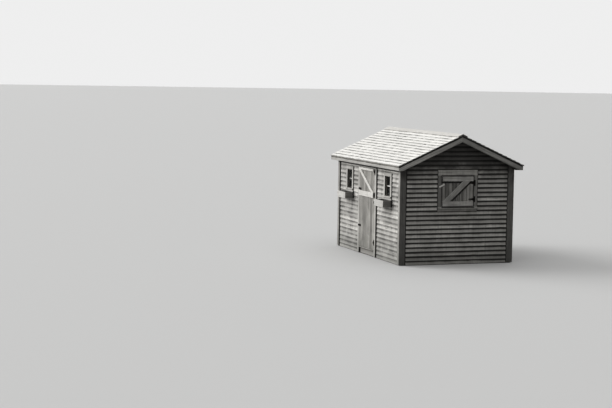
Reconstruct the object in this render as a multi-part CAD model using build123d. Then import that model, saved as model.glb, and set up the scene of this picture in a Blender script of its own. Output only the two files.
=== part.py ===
from build123d import *
import math
import os

# Small timber boathouse, in millimetres.
# X runs across the gable, Y along the long sides, Z up.
# The origin is on the level ground under the centre of the middle bearer.
# The shuttered gable faces -Y and the long wall with the door faces -X.

# Body: outer faces of the boarded frame, under the trim
BODY_WIDTH = 2656.0
BODY_LENGTH = 3882.0
WALL_THICKNESS = 100.0
TRIM_THICKNESS = 24.0
SIDE_TRIM_THICKNESS = 40.0
TRIM_FOOT = 14.0

# Floor
BEARER_WIDTH = 90.0
BEARER_HEIGHT = 110.0
DECK_THICKNESS = 35.0

# Roof
ROOF_PITCH = 24.0
SOFFIT_LEVEL = 2085.0
FASCIA_HEIGHT = 76.0
FASCIA_THICKNESS = 20.0
SOFFIT_THICKNESS = 15.0
EAVE_OVERHANG = 154.0
GABLE_OVERHANG = 221.0
ROOF_BOARD_THICKNESS = 19.0
RAKE_WIDTH = 125.0
RAKE_THICKNESS = 20.0
RAKE_JOINT = 1.0
SHINGLE_COURSES = 14
SHINGLE_BUTT = 24.0
SHINGLE_STEP = 10.0
SHINGLE_OVERHANG = 18.0
CAP_WIDTH = 120.0
CAP_THICKNESS = 14.0

# Roof frame inside
RIDGE_BEAM_WIDTH = 36.0
RIDGE_BEAM_HEIGHT = 150.0
RAFTER_DEPTH = 90.0
RAFTER_WIDTH = 45.0
RAFTER_PAIRS = 6
RAFTER_END_GAP = 20.0

# Corner boards
CORNER_BOARD_WIDTH = 140.0
CORNER_SIDE_WIDTH = 100.0

# Stable door in the long wall
DOOR_CENTRE = 24.0
DOOR_OPENING_WIDTH = 936.0
DOOR_HEAD_LEVEL = 2015.0
DOOR_CASING_WIDTH = 100.0
DOOR_SILL_THICKNESS = 20.0
DOOR_SILL_NOSE = 14.0
DOOR_SPLIT_LEVEL = 1350.0
DOOR_GAP = 6.0
LEAF_THICKNESS = 22.0
LEDGE_THICKNESS = 22.0
TOP_LEDGE_HEIGHT = 52.0
LEDGE_HEIGHT = 118.0
LEDGE_INSET = 6.0
LEDGE_HINGE_ROOM = 56.0
DOOR_BRACE_WIDTH = 80.0
BRACE_FOOT_INSET = 50.0
LOWER_LEDGE_INSET = 90.0

# Hinges of the door leaves and of the shutter
KNUCKLE_RADIUS = 7.0
KNUCKLE_STAND_OFF = 1.0
KNUCKLE_LENGTH = 20.0
KNUCKLE_GAP = 1.0
PIN_RADIUS = 3.5
PIN_CLEARANCE = 0.5
PLATE_THICKNESS = 3.0
JAMB_PLATE_WIDTH = 42.0
JAMB_PLATE_HEIGHT = 130.0
DOOR_STRAP_LENGTH = 36.0
SHUTTER_STRAP_LENGTH = 104.0
STRAP_ROOT = 44.0
STRAP_TIP = 18.0
UPPER_HINGE_INSET = 66.0
LOWER_HINGE_INSET = 95.0
LOWER_HINGE_RISE = 170.0

# Door bolts
BOLT_PLATE = 50.0
BOLT_RADIUS = 7.0
KNOB_RADIUS = 5.0
KNOB_LENGTH = 22.0
BOLT_LENGTH = 110.0
KEEPER_LENGTH = 36.0
KEEPER_CLEARANCE = 1.0
UPPER_BOLT_LEVEL = 1506.0
LOWER_BOLT_LEVEL = 655.0

# Windows in the long wall
WINDOW_CENTRES = {"near": -1200.0, "far": 1200.0}
WINDOW_WIDTH = 310.0
WINDOW_FOOT = 1460.0
WINDOW_HEAD = 1905.0
WINDOW_CASING_WIDTH = 76.0
WINDOW_CASING_THICKNESS = 30.0
SASH_SETBACK = 22.0
SASH_THICKNESS = 24.0
SASH_STILE = 28.0
GLASS_THICKNESS = 3.0
WINDOW_SILL_THICKNESS = 25.0
WINDOW_SILL_NOSE = 24.0

# Planting boxes under the windows
BOX_LENGTH = 540.0
BOX_DEPTH = 208.0
BOX_HEIGHT = 148.0
BOX_BOARD = 18.0
BOX_DROP = 51.0

# Shuttered window in the gable
SHUTTER_OPENING_WIDTH = 770.0
SHUTTER_FOOT = 1273.0
SHUTTER_HEAD = 1962.0
SHUTTER_GAP = 4.0
SHUTTER_REBATE = 14.0
SHUTTER_THICKNESS = 24.0
SHUTTER_LEDGE_HEIGHT = 118.0
SHUTTER_LEDGE_THICKNESS = 20.0
SHUTTER_BRACE_WIDTH = 118.0
SHUTTER_BRACE_INSET = 103.0
SHUTTER_STRAP_ROOM = 67.0
BUTTON_LENGTH = 134.0
BUTTON_WIDTH = 34.0
BUTTON_THICKNESS = 16.0
BUTTON_TILT = 28.0
BUTTON_DROP = 98.0
SHUTTER_CASING_WIDTH = 85.0
SHUTTER_HEAD_CASING = 123.0
SHUTTER_SILL_THICKNESS = 42.0
SHUTTER_SILL_NOSE = 30.0
SHUTTER_APRON = 55.0

# Planes and levels worked out from the sizes above
WALL_X = BODY_WIDTH / 2
WALL_Y = BODY_LENGTH / 2
TRIM_X = WALL_X + SIDE_TRIM_THICKNESS
TRIM_Y = WALL_Y + TRIM_THICKNESS
FLOOR_LEVEL = BEARER_HEIGHT + DECK_THICKNESS
SLOPE = math.tan(math.radians(ROOF_PITCH))
COSINE = math.cos(math.radians(ROOF_PITCH))
SINE = math.sin(math.radians(ROOF_PITCH))
FASCIA_X = WALL_X + EAVE_OVERHANG
RAKE_Y = WALL_Y + GABLE_OVERHANG
WINDOW_FACE_X = WALL_X + WINDOW_CASING_THICKNESS
BOX_HEAD = WINDOW_FOOT - WINDOW_SILL_THICKNESS - BOX_DROP
BOX_FOOT = BOX_HEAD - BOX_HEIGHT
DOOR_NEAR = DOOR_CENTRE - DOOR_OPENING_WIDTH / 2
DOOR_FAR = DOOR_CENTRE + DOOR_OPENING_WIDTH / 2
DOOR_SILL_TOP = FLOOR_LEVEL + DOOR_SILL_THICKNESS
HINGE_X = -(TRIM_X + KNUCKLE_STAND_OFF + KNUCKLE_RADIUS)
HINGE_Y = DOOR_NEAR + DOOR_GAP / 2


def block(x0, x1, y0, y1, z0, z1):
    """A box between two corners."""
    centre = Pos((x0 + x1) / 2, (y0 + y1) / 2, (z0 + z1) / 2)
    return centre * Box(abs(x1 - x0), abs(y1 - y0), abs(z1 - z0))


def along_y(points, y0, y1):
    """A profile of (x, z) points drawn out from y0 to y1."""
    outline = Plane.XZ.offset(-y0) * Polygon(*points, align=None)
    return extrude(outline, amount=y1 - y0, dir=(0, 1, 0))


def along_x(points, x0, x1):
    """A profile of (y, z) points drawn out from x0 to x1."""
    outline = Plane.YZ.offset(x0) * Polygon(*points, align=None)
    return extrude(outline, amount=x1 - x0, dir=(1, 0, 0))


def board_bottom(x):
    """Height of the underside of the roof boards, a distance x from the ridge line."""
    return SOFFIT_LEVEL + FASCIA_HEIGHT + (FASCIA_X - abs(x)) * SLOPE


def board_top(x):
    """Height of the upper face of the roof boards."""
    return board_bottom(x) + ROOF_BOARD_THICKNESS / COSINE


def mirrored(solid):
    """The same piece on the other side of the ridge line."""
    return solid.mirror(Plane.YZ)


def reversed_along(solid):
    """The same piece at the other end of the building."""
    return solid.mirror(Plane.XZ)


def solids_of(shapes):
    """Several pieces that don't touch, kept in one node."""
    return Compound(children=list(shapes))


def floor_pieces():
    """Bearers on the ground and the floor that they carry."""
    inner_x = WALL_X - BEARER_WIDTH
    inner_y = WALL_Y - BEARER_WIDTH
    side = block(-WALL_X, -inner_x, -WALL_Y, WALL_Y, 0, BEARER_HEIGHT)
    end = block(-inner_x, inner_x, -WALL_Y, -inner_y, 0, BEARER_HEIGHT)
    half = BEARER_WIDTH / 2
    return {
        "door_side_bearer": side,
        "back_side_bearer": mirrored(side),
        "end_bearers": solids_of([end, reversed_along(end)]),
        "middle_bearer": block(-half, half, -inner_y, inner_y, 0, BEARER_HEIGHT),
        "floor_deck": block(-WALL_X, WALL_X, -WALL_Y, WALL_Y, BEARER_HEIGHT, FLOOR_LEVEL),
    }


def gable_wall():
    """The wall under the near roof end, without its opening."""
    outline = [
        (-WALL_X, FLOOR_LEVEL),
        (WALL_X, FLOOR_LEVEL),
        (WALL_X, board_bottom(WALL_X)),
        (0, board_bottom(0)),
        (-WALL_X, board_bottom(WALL_X)),
    ]
    return along_y(outline, -WALL_Y, -WALL_Y + WALL_THICKNESS)


def long_wall(y0, y1, foot):
    """A stretch of the wall on the door side, with its top cut to the roof slope."""
    inner = WALL_X - WALL_THICKNESS
    outline = [
        (-WALL_X, foot),
        (-inner, foot),
        (-inner, board_bottom(inner)),
        (-WALL_X, board_bottom(WALL_X)),
    ]
    return along_y(outline, y0, y1)


def window_hole(centre):
    """The space that a small window needs in the wall."""
    half = WINDOW_WIDTH / 2
    return block(
        -WALL_X - WALL_THICKNESS,
        -WALL_X + WALL_THICKNESS * 2,
        centre - half,
        centre + half,
        WINDOW_FOOT,
        WINDOW_HEAD,
    )


def wall_pieces():
    """The four walls, the door wall in three stretches."""
    inner_y = WALL_Y - WALL_THICKNESS
    rebated = SHUTTER_OPENING_WIDTH / 2 - SHUTTER_REBATE
    hole = block(
        -rebated,
        rebated,
        -WALL_Y - TRIM_THICKNESS,
        -WALL_Y + WALL_THICKNESS * 2,
        SHUTTER_FOOT + SHUTTER_REBATE,
        SHUTTER_HEAD - SHUTTER_REBATE,
    )
    near = long_wall(-inner_y, DOOR_NEAR, FLOOR_LEVEL) - window_hole(WINDOW_CENTRES["near"])
    far = long_wall(DOOR_FAR, inner_y, FLOOR_LEVEL) - window_hole(WINDOW_CENTRES["far"])
    return {
        "front_gable_wall": gable_wall() - hole,
        "rear_gable_wall": reversed_along(gable_wall()),
        "back_wall": mirrored(long_wall(-inner_y, inner_y, FLOOR_LEVEL)),
        "door_wall_near": near,
        "door_wall_far": far,
        "door_wall_header": long_wall(DOOR_NEAR, DOOR_FAR, DOOR_HEAD_LEVEL),
    }


def corner_board():
    """An angle of two upright boards on the near corner of the door side."""
    reach = TRIM_X - CORNER_BOARD_WIDTH
    gable_leg = [
        (-TRIM_X, TRIM_FOOT),
        (-reach, TRIM_FOOT),
        (-reach, board_bottom(reach)),
        (-WALL_X, board_bottom(WALL_X)),
        (-WALL_X, SOFFIT_LEVEL),
        (-TRIM_X, SOFFIT_LEVEL),
    ]
    end = -TRIM_Y + CORNER_SIDE_WIDTH
    side_leg = block(-TRIM_X, -WALL_X, -WALL_Y, end, TRIM_FOOT, SOFFIT_LEVEL)
    return along_y(gable_leg, -TRIM_Y, -WALL_Y) + side_leg


def corner_pieces():
    """The boards that cover the four corners."""
    first = corner_board()
    return {
        "front_door_side_corner_board": first,
        "front_back_side_corner_board": mirrored(first),
        "rear_door_side_corner_board": reversed_along(first),
        "rear_back_side_corner_board": reversed_along(mirrored(first)),
    }


def roof_boards():
    """The boarding of the door-side slope, cut plumb at the eave and the ridge."""
    outline = [
        (-FASCIA_X, board_bottom(FASCIA_X)),
        (0, board_bottom(0)),
        (0, board_top(0)),
        (-FASCIA_X, board_top(FASCIA_X)),
    ]
    end = RAKE_Y - RAKE_THICKNESS
    return along_y(outline, -end, end)


def shingle_layer():
    """The stepped courses of the door-side slope, one tapered step to a course."""
    eave_x = FASCIA_X + SHINGLE_OVERHANG
    eave_z = board_top(eave_x)
    course = eave_x / COSINE / SHINGLE_COURSES

    def on_slope(distance, height):
        """The (x, z) point at a distance up the slope and a height off the boards."""
        x = -eave_x + distance * COSINE - height * SINE
        return (x, eave_z + distance * SINE + height * COSINE)

    outline = [on_slope(0, 0)]
    for number in range(SHINGLE_COURSES):
        outline.append(on_slope(number * course, SHINGLE_BUTT))
        outline.append(on_slope((number + 1) * course, SHINGLE_BUTT - SHINGLE_STEP))
    ridge_height = (SHINGLE_BUTT - SHINGLE_STEP) / COSINE
    outline[-1] = (0, board_top(0) + ridge_height)
    outline.append((0, board_top(0)))
    end = RAKE_Y + SHINGLE_OVERHANG
    return along_y(outline, -end, end)


def ridge_cap():
    """The two saddle boards over the meeting of the slopes."""
    lift = SHINGLE_BUTT / COSINE
    thick = CAP_THICKNESS / COSINE
    reach = CAP_WIDTH * COSINE
    outline = [
        (-reach, board_top(reach) + lift),
        (0, board_top(0) + lift),
        (reach, board_top(reach) + lift),
        (reach, board_top(reach) + lift + thick),
        (0, board_top(0) + lift + thick),
        (-reach, board_top(reach) + lift + thick),
    ]
    end = RAKE_Y + SHINGLE_OVERHANG
    return along_y(outline, -end, end)


def rake_board():
    """The sloping board on the near roof end, door side, with a level foot."""
    depth = RAKE_WIDTH / COSINE
    foot_x = FASCIA_X - (SOFFIT_LEVEL + depth - board_top(FASCIA_X)) / SLOPE
    outline = [
        (-FASCIA_X, SOFFIT_LEVEL),
        (-foot_x, SOFFIT_LEVEL),
        (-RAKE_JOINT, board_top(RAKE_JOINT) - depth),
        (-RAKE_JOINT, board_top(RAKE_JOINT)),
        (-FASCIA_X, board_top(FASCIA_X)),
    ]
    return along_y(outline, -RAKE_Y, -RAKE_Y + RAKE_THICKNESS)


def eave_fascia():
    """The board along the door-side eave, its top bevelled to the roof slope."""
    inner = FASCIA_X - FASCIA_THICKNESS
    outline = [
        (-FASCIA_X, SOFFIT_LEVEL),
        (-inner, SOFFIT_LEVEL),
        (-inner, board_bottom(inner)),
        (-FASCIA_X, board_bottom(FASCIA_X)),
    ]
    end = RAKE_Y - RAKE_THICKNESS
    return along_y(outline, -end, end)


def eave_soffit():
    """The board that closes the eave from below."""
    end = RAKE_Y - RAKE_THICKNESS
    top = SOFFIT_LEVEL + SOFFIT_THICKNESS
    return block(-FASCIA_X + FASCIA_THICKNESS, -WALL_X, -end, end, SOFFIT_LEVEL, top)


def roof_frame():
    """The ridge beam and the rafters of both slopes, bare inside the building."""
    half = RIDGE_BEAM_WIDTH / 2
    inner_x = WALL_X - WALL_THICKNESS
    inner_y = WALL_Y - WALL_THICKNESS
    crown = board_bottom(half)
    foot = crown - RIDGE_BEAM_HEIGHT
    beam = [(-half, foot), (half, foot), (half, crown), (0, board_bottom(0)), (-half, crown)]
    outline = [
        (-inner_x, board_bottom(inner_x) - RAFTER_DEPTH),
        (-half, crown - RAFTER_DEPTH),
        (-half, crown),
        (-inner_x, board_bottom(inner_x)),
    ]
    first = -inner_y + RAFTER_END_GAP
    spacing = (2 * -first - RAFTER_WIDTH) / (RAFTER_PAIRS - 1)
    starts = [first + number * spacing for number in range(RAFTER_PAIRS)]
    rafters = [along_y(outline, start, start + RAFTER_WIDTH) for start in starts]
    return {
        "ridge_beam": along_y(beam, -inner_y, inner_y),
        "door_side_rafters": solids_of(rafters),
        "back_side_rafters": solids_of(mirrored(rafter) for rafter in rafters),
    }


def roof_pieces():
    """Boards, shingles and trim of both slopes."""
    rakes = [rake_board(), mirrored(rake_board())]
    return {
        "door_side_roof_boards": roof_boards(),
        "back_side_roof_boards": mirrored(roof_boards()),
        "door_side_shingles": shingle_layer(),
        "back_side_shingles": mirrored(shingle_layer()),
        "ridge_cap": ridge_cap(),
        "front_rake_boards": solids_of(rakes),
        "rear_rake_boards": solids_of(reversed_along(rake) for rake in rakes),
        "door_side_fascia": eave_fascia(),
        "back_side_fascia": mirrored(eave_fascia()),
        "door_side_soffit": eave_soffit(),
        "back_side_soffit": mirrored(eave_soffit()),
    }


def door_surround():
    """Casings and sill of the door opening."""
    near_edge = DOOR_NEAR - DOOR_CASING_WIDTH
    far_edge = DOOR_FAR + DOOR_CASING_WIDTH
    inner = -WALL_X + WALL_THICKNESS
    near = block(-TRIM_X, -WALL_X, near_edge, DOOR_NEAR, TRIM_FOOT, DOOR_HEAD_LEVEL)
    far = block(-TRIM_X, -WALL_X, DOOR_FAR, far_edge, TRIM_FOOT, DOOR_HEAD_LEVEL)
    return {
        "door_side_casings": solids_of([near, far]),
        "door_head_casing": block(-TRIM_X, -WALL_X, near_edge, far_edge, DOOR_HEAD_LEVEL, SOFFIT_LEVEL),
        "door_sill": block(
            -TRIM_X - DOOR_SILL_NOSE, inner, DOOR_NEAR, DOOR_FAR, FLOOR_LEVEL, DOOR_SILL_TOP
        ),
    }


def brace(start, end, width):
    """The (across, up) outline of a board between two levels, cut level at both ends."""
    run = end[0] - start[0]
    rise = end[1] - start[1]
    half = width * math.hypot(run, rise) / abs(rise) / 2
    return [
        (start[0] - half, start[1]),
        (start[0] + half, start[1]),
        (end[0] + half, end[1]),
        (end[0] - half, end[1]),
    ]


def barrel(level, length, radius):
    """A round piece on the hinge line of the door."""
    return Pos(HINGE_X, HINGE_Y, level) * Cylinder(radius, length)


def fixed_hinge(level):
    """Jamb plate, two knuckles and the pin of a door hinge."""
    pitch = KNUCKLE_LENGTH + KNUCKLE_GAP
    span = KNUCKLE_LENGTH * 3 + KNUCKLE_GAP * 2
    edge = HINGE_Y - KNUCKLE_RADIUS - KNUCKLE_GAP
    half = JAMB_PLATE_HEIGHT / 2
    face = -TRIM_X - PLATE_THICKNESS
    plate = block(face, -TRIM_X, edge - JAMB_PLATE_WIDTH, edge, level - half, level + half)
    hinge = plate + barrel(level, span, PIN_RADIUS)
    for side in (-pitch, pitch):
        low = level + side - KNUCKLE_LENGTH / 2
        tab = block(face, -TRIM_X - KNUCKLE_STAND_OFF, edge, HINGE_Y, low, low + KNUCKLE_LENGTH)
        hinge += barrel(level + side, KNUCKLE_LENGTH, KNUCKLE_RADIUS)
        hinge += tab
    return hinge


def strap_outline(level):
    """The tapered strap of a hinge, from its knuckle to its round tip."""
    start = HINGE_Y + KNUCKLE_RADIUS + KNUCKLE_GAP
    tip = start + DOOR_STRAP_LENGTH
    root = STRAP_ROOT / 2
    narrow = STRAP_TIP / 2
    return [
        (start, level - root),
        (tip, level - narrow),
        (tip + narrow, level),
        (tip, level + narrow),
        (start, level + root),
    ]


def moving_hinge(level):
    """Strap and bored middle knuckle of a door hinge."""
    face = -TRIM_X - PLATE_THICKNESS
    start = HINGE_Y + KNUCKLE_RADIUS + KNUCKLE_GAP
    half = KNUCKLE_LENGTH / 2
    strap = along_x(strap_outline(level), face, -TRIM_X)
    tab = block(face, -TRIM_X - KNUCKLE_STAND_OFF, HINGE_Y, start, level - half, level + half)
    bore = barrel(level, KNUCKLE_LENGTH * 2, PIN_RADIUS + PIN_CLEARANCE)
    return strap + tab + barrel(level, KNUCKLE_LENGTH, KNUCKLE_RADIUS) - bore


def door_bolt(level):
    """Back plate, round bolt and knob on the far edge of a leaf, the bolt drawn back."""
    edge = DOOR_FAR - DOOR_GAP
    face = -TRIM_X - PLATE_THICKNESS
    low = level - BOLT_PLATE / 2
    middle = edge - BOLT_LENGTH / 2
    plate = block(face, -TRIM_X, edge - BOLT_LENGTH, edge, low, low + BOLT_PLATE)
    rod = Pos(face, middle, level) * Rot(90, 0, 0) * Cylinder(BOLT_RADIUS, BOLT_LENGTH)
    rod &= block(face - BOLT_RADIUS, face, edge - BOLT_LENGTH, edge, low, low + BOLT_PLATE)
    knob = Pos(face - KNOB_LENGTH / 2, middle, level) * Rot(0, 90, 0) * Cylinder(KNOB_RADIUS, KNOB_LENGTH)
    return plate + rod + knob


def bolt_keeper(level):
    """The staple on the far casing that a bolt slides into."""
    edge = DOOR_FAR + DOOR_GAP
    face = -TRIM_X - PLATE_THICKNESS
    end = edge + KEEPER_LENGTH
    low = level - BOLT_PLATE / 2
    plate = block(face, -TRIM_X, edge, end, low, low + BOLT_PLATE)
    hump = Pos(face, (edge + end) / 2, level) * Rot(90, 0, 0) * Cylinder(BOLT_RADIUS * 2, KEEPER_LENGTH / 2)
    hump &= block(face - BOLT_RADIUS * 2, face, edge, end, low, low + BOLT_PLATE)
    bore = BOLT_RADIUS + KEEPER_CLEARANCE
    eye = Pos(face, (edge + end) / 2, level) * Rot(90, 0, 0) * Cylinder(bore, KEEPER_LENGTH)
    return plate + (hump - eye)


def door_pieces():
    """The two leaves of the stable door with their ledges, brace and ironwork."""
    near = DOOR_NEAR + DOOR_GAP
    far = DOOR_FAR - DOOR_GAP
    lower_foot = DOOR_SILL_TOP + DOOR_GAP
    lower_head = DOOR_SPLIT_LEVEL - DOOR_GAP / 2
    upper_foot = DOOR_SPLIT_LEVEL + DOOR_GAP / 2
    upper_head = DOOR_HEAD_LEVEL - DOOR_GAP
    inner_face = -TRIM_X + LEAF_THICKNESS
    outer_face = -TRIM_X - LEDGE_THICKNESS
    ledge_near = near + LEDGE_HINGE_ROOM
    ledge_far = far - LEDGE_INSET

    rail_low = upper_foot + LEDGE_HEIGHT
    rail_high = upper_head - TOP_LEDGE_HEIGHT
    brace_foot = (ledge_near + BRACE_FOOT_INSET, rail_low)
    brace_head = (ledge_far - BRACE_FOOT_INSET, rail_high)
    brace_outline = brace(brace_foot, brace_head, DOOR_BRACE_WIDTH)
    z_frame = block(outer_face, -TRIM_X, ledge_near, ledge_far, upper_foot, rail_low)
    z_frame += block(outer_face, -TRIM_X, ledge_near, ledge_far, rail_high, upper_head)
    z_frame += along_x(brace_outline, outer_face, -TRIM_X)

    ledge_levels = [lower_foot + LOWER_LEDGE_INSET, lower_head - LOWER_LEDGE_INSET - LEDGE_HEIGHT]
    lower_ledges = [
        block(inner_face, inner_face + LEDGE_THICKNESS, ledge_near, ledge_far, low, low + LEDGE_HEIGHT)
        for low in ledge_levels
    ]
    upper_hinges = [upper_foot + UPPER_HINGE_INSET, upper_head - UPPER_HINGE_INSET]
    lower_hinges = [lower_foot + LOWER_HINGE_RISE, lower_head - LOWER_HINGE_INSET]
    return {
        "upper_leaf_boards": block(-TRIM_X, inner_face, near, far, upper_foot, upper_head),
        "upper_leaf_ledges": z_frame,
        "upper_leaf_hinges": solids_of(moving_hinge(level) for level in upper_hinges),
        "upper_leaf_bolt": door_bolt(UPPER_BOLT_LEVEL),
        "lower_leaf_boards": block(-TRIM_X, inner_face, near, far, lower_foot, lower_head),
        "lower_leaf_ledges": solids_of(lower_ledges),
        "lower_leaf_hinges": solids_of(moving_hinge(level) for level in lower_hinges),
        "lower_leaf_bolt": door_bolt(LOWER_BOLT_LEVEL),
        "door_jamb_hinges": solids_of(fixed_hinge(level) for level in upper_hinges + lower_hinges),
        "door_bolt_keepers": solids_of(bolt_keeper(level) for level in (UPPER_BOLT_LEVEL, LOWER_BOLT_LEVEL)),
    }


def window_pieces(name, centre):
    """Casing, sill, sash, glass and planting box of one small window."""
    half = WINDOW_WIDTH / 2
    wide = half + WINDOW_CASING_WIDTH
    sill_foot = WINDOW_FOOT - WINDOW_SILL_THICKNESS
    head = WINDOW_HEAD + WINDOW_CASING_WIDTH
    casing = block(-WINDOW_FACE_X, -WALL_X, centre - wide, centre + wide, WINDOW_FOOT, head)
    casing -= window_hole(centre)
    casing += block(-WINDOW_FACE_X, -WALL_X, centre - wide, centre + wide, BOX_FOOT, sill_foot)
    nose = -WINDOW_FACE_X - WINDOW_SILL_NOSE
    casing += block(nose, -WALL_X, centre - wide, centre + wide, sill_foot, WINDOW_FOOT)

    outer = -WALL_X + SASH_SETBACK
    inner = outer + SASH_THICKNESS
    middle = (WINDOW_FOOT + WINDOW_HEAD) / 2
    sash = block(outer, inner, centre - half, centre + half, WINDOW_FOOT, WINDOW_HEAD)
    pane = half - SASH_STILE
    bar = SASH_STILE / 2
    for low, high in ((WINDOW_FOOT + SASH_STILE, middle - bar), (middle + bar, WINDOW_HEAD - SASH_STILE)):
        sash -= block(outer - 1, inner + 1, centre - pane, centre + pane, low, high)
    glass_x = (outer + inner) / 2
    glass = block(
        glass_x - GLASS_THICKNESS / 2,
        glass_x + GLASS_THICKNESS / 2,
        centre - pane,
        centre + pane,
        WINDOW_FOOT + SASH_STILE,
        WINDOW_HEAD - SASH_STILE,
    )
    upper = block(outer, inner, centre - pane, centre + pane, middle - bar, middle + bar)

    end = BOX_LENGTH / 2
    box_front = -WINDOW_FACE_X - BOX_DEPTH
    planter = block(box_front, -WINDOW_FACE_X, centre - end, centre + end, BOX_FOOT, BOX_HEAD)
    planter -= block(
        box_front + BOX_BOARD,
        -WINDOW_FACE_X - BOX_BOARD,
        centre - end + BOX_BOARD,
        centre + end - BOX_BOARD,
        BOX_FOOT + BOX_BOARD,
        BOX_HEAD + BOX_BOARD,
    )
    return {
        f"{name}_window_casing": casing,
        f"{name}_window_sash": sash,
        f"{name}_window_glass": glass - upper,
        f"{name}_planting_box": planter,
    }


def shutter_hinge(level):
    """A hinge of the shutter: jamb plate, barrel and tapered strap in one."""
    edge = SHUTTER_OPENING_WIDTH / 2 - SHUTTER_GAP / 2
    half = JAMB_PLATE_HEIGHT / 2
    face = -TRIM_Y - PLATE_THICKNESS
    plate = block(edge, edge + JAMB_PLATE_WIDTH, face, -TRIM_Y, level - half, level + half)
    start = edge - KNUCKLE_RADIUS * 2
    tip = start - SHUTTER_STRAP_LENGTH
    root = STRAP_ROOT / 2
    narrow = STRAP_TIP / 2
    outline = [
        (edge, level - root),
        (edge, level + root),
        (start, level + root),
        (tip, level + narrow),
        (tip - narrow, level),
        (tip, level - narrow),
        (start, level - root),
    ]
    strap = along_y(outline, face, -TRIM_Y)
    proud = face - KNUCKLE_STAND_OFF
    pivot = Pos(edge, proud, level) * Cylinder(KNUCKLE_RADIUS, KNUCKLE_LENGTH * 3)
    pivot &= block(start, edge - start + edge, proud * 2, -TRIM_Y, level - half, level + half)
    return plate + strap + pivot


def shutter_pieces():
    """The ledged and braced shutter that closes the gable window."""
    half = SHUTTER_OPENING_WIDTH / 2
    wide = half + SHUTTER_CASING_WIDTH
    sill_foot = SHUTTER_FOOT - SHUTTER_SILL_THICKNESS
    casing_head = SHUTTER_HEAD + SHUTTER_HEAD_CASING
    casing = block(-wide, wide, -TRIM_Y, -WALL_Y, sill_foot - SHUTTER_APRON, casing_head)
    casing += block(-wide, wide, -TRIM_Y - SHUTTER_SILL_NOSE, -WALL_Y, sill_foot, SHUTTER_FOOT)
    casing -= block(-half, half, -TRIM_Y * 2, -WALL_Y, SHUTTER_FOOT, SHUTTER_HEAD)

    edge = half - SHUTTER_GAP
    foot = SHUTTER_FOOT + SHUTTER_GAP
    top = SHUTTER_HEAD - SHUTTER_GAP
    back = -WALL_Y
    face = back - SHUTTER_THICKNESS
    front = face - SHUTTER_LEDGE_THICKNESS
    low_rail = foot + SHUTTER_LEDGE_HEIGHT
    high_rail = top - SHUTTER_LEDGE_HEIGHT
    brace_foot = (-edge + SHUTTER_BRACE_INSET, low_rail)
    brace_head = (edge - SHUTTER_STRAP_LENGTH - SHUTTER_STRAP_ROOM, high_rail)
    brace_outline = brace(brace_foot, brace_head, SHUTTER_BRACE_WIDTH)
    ledges = block(-edge, edge, front, face, foot, low_rail)
    ledges += block(-edge, edge, front, face, high_rail, top)
    ledges += along_y(brace_outline, front, face)
    levels = [low_rail + STRAP_ROOT, high_rail - STRAP_ROOT]

    button = Pos(-half, -TRIM_Y - BUTTON_THICKNESS / 2, high_rail - BUTTON_DROP)
    button_board = button * Rot(0, -BUTTON_TILT, 0) * Box(BUTTON_LENGTH, BUTTON_THICKNESS, BUTTON_WIDTH)
    return {
        "shutter_casing": casing,
        "shutter_boards": block(-edge, edge, face, back, foot, top),
        "shutter_ledges": ledges,
        "shutter_hinges": solids_of(shutter_hinge(level) for level in levels),
        "shutter_turn_button": button_board,
    }


def main():
    """Build every piece and write one file for each."""
    nodes = {}
    nodes.update(floor_pieces())
    nodes.update(wall_pieces())
    nodes.update(corner_pieces())
    nodes.update(roof_pieces())
    nodes.update(roof_frame())
    nodes.update(door_surround())
    nodes.update(door_pieces())
    for name, centre in WINDOW_CENTRES.items():
        nodes.update(window_pieces(name, centre))
    nodes.update(shutter_pieces())
    os.makedirs("parts", exist_ok=True)
    for name, solid in nodes.items():
        export_step(solid, f"parts/{name}.step")
    print(len(nodes), "nodes written")


if __name__ == "__main__":
    main()
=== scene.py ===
"""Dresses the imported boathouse: boards, shingles, ironwork and finishes, then light and camera."""

import logging
import math
import random
from collections.abc import Iterator
from dataclasses import dataclass, field
from enum import Enum
from functools import cached_property

import bmesh
import bpy
from mathutils import Matrix, Vector, noise


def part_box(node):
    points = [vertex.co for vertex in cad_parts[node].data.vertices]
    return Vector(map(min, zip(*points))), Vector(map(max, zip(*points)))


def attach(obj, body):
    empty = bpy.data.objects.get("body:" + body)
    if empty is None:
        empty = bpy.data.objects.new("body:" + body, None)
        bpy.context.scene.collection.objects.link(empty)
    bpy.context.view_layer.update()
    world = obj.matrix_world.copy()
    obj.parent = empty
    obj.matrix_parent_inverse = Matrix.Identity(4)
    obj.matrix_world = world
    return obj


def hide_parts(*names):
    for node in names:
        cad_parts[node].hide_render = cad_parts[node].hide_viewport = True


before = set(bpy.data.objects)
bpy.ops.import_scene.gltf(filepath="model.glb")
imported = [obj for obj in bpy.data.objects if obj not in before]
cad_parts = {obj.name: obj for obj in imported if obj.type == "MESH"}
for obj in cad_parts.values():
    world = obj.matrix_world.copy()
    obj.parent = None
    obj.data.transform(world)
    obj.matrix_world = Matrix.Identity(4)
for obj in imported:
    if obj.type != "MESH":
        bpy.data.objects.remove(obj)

Socket = bpy.types.NodeSocket
Colour = tuple[float, float, float]
Spread = tuple[float, ...]
Box = tuple[Vector, Vector]
Value = Socket | Vector | Colour | float

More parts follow.
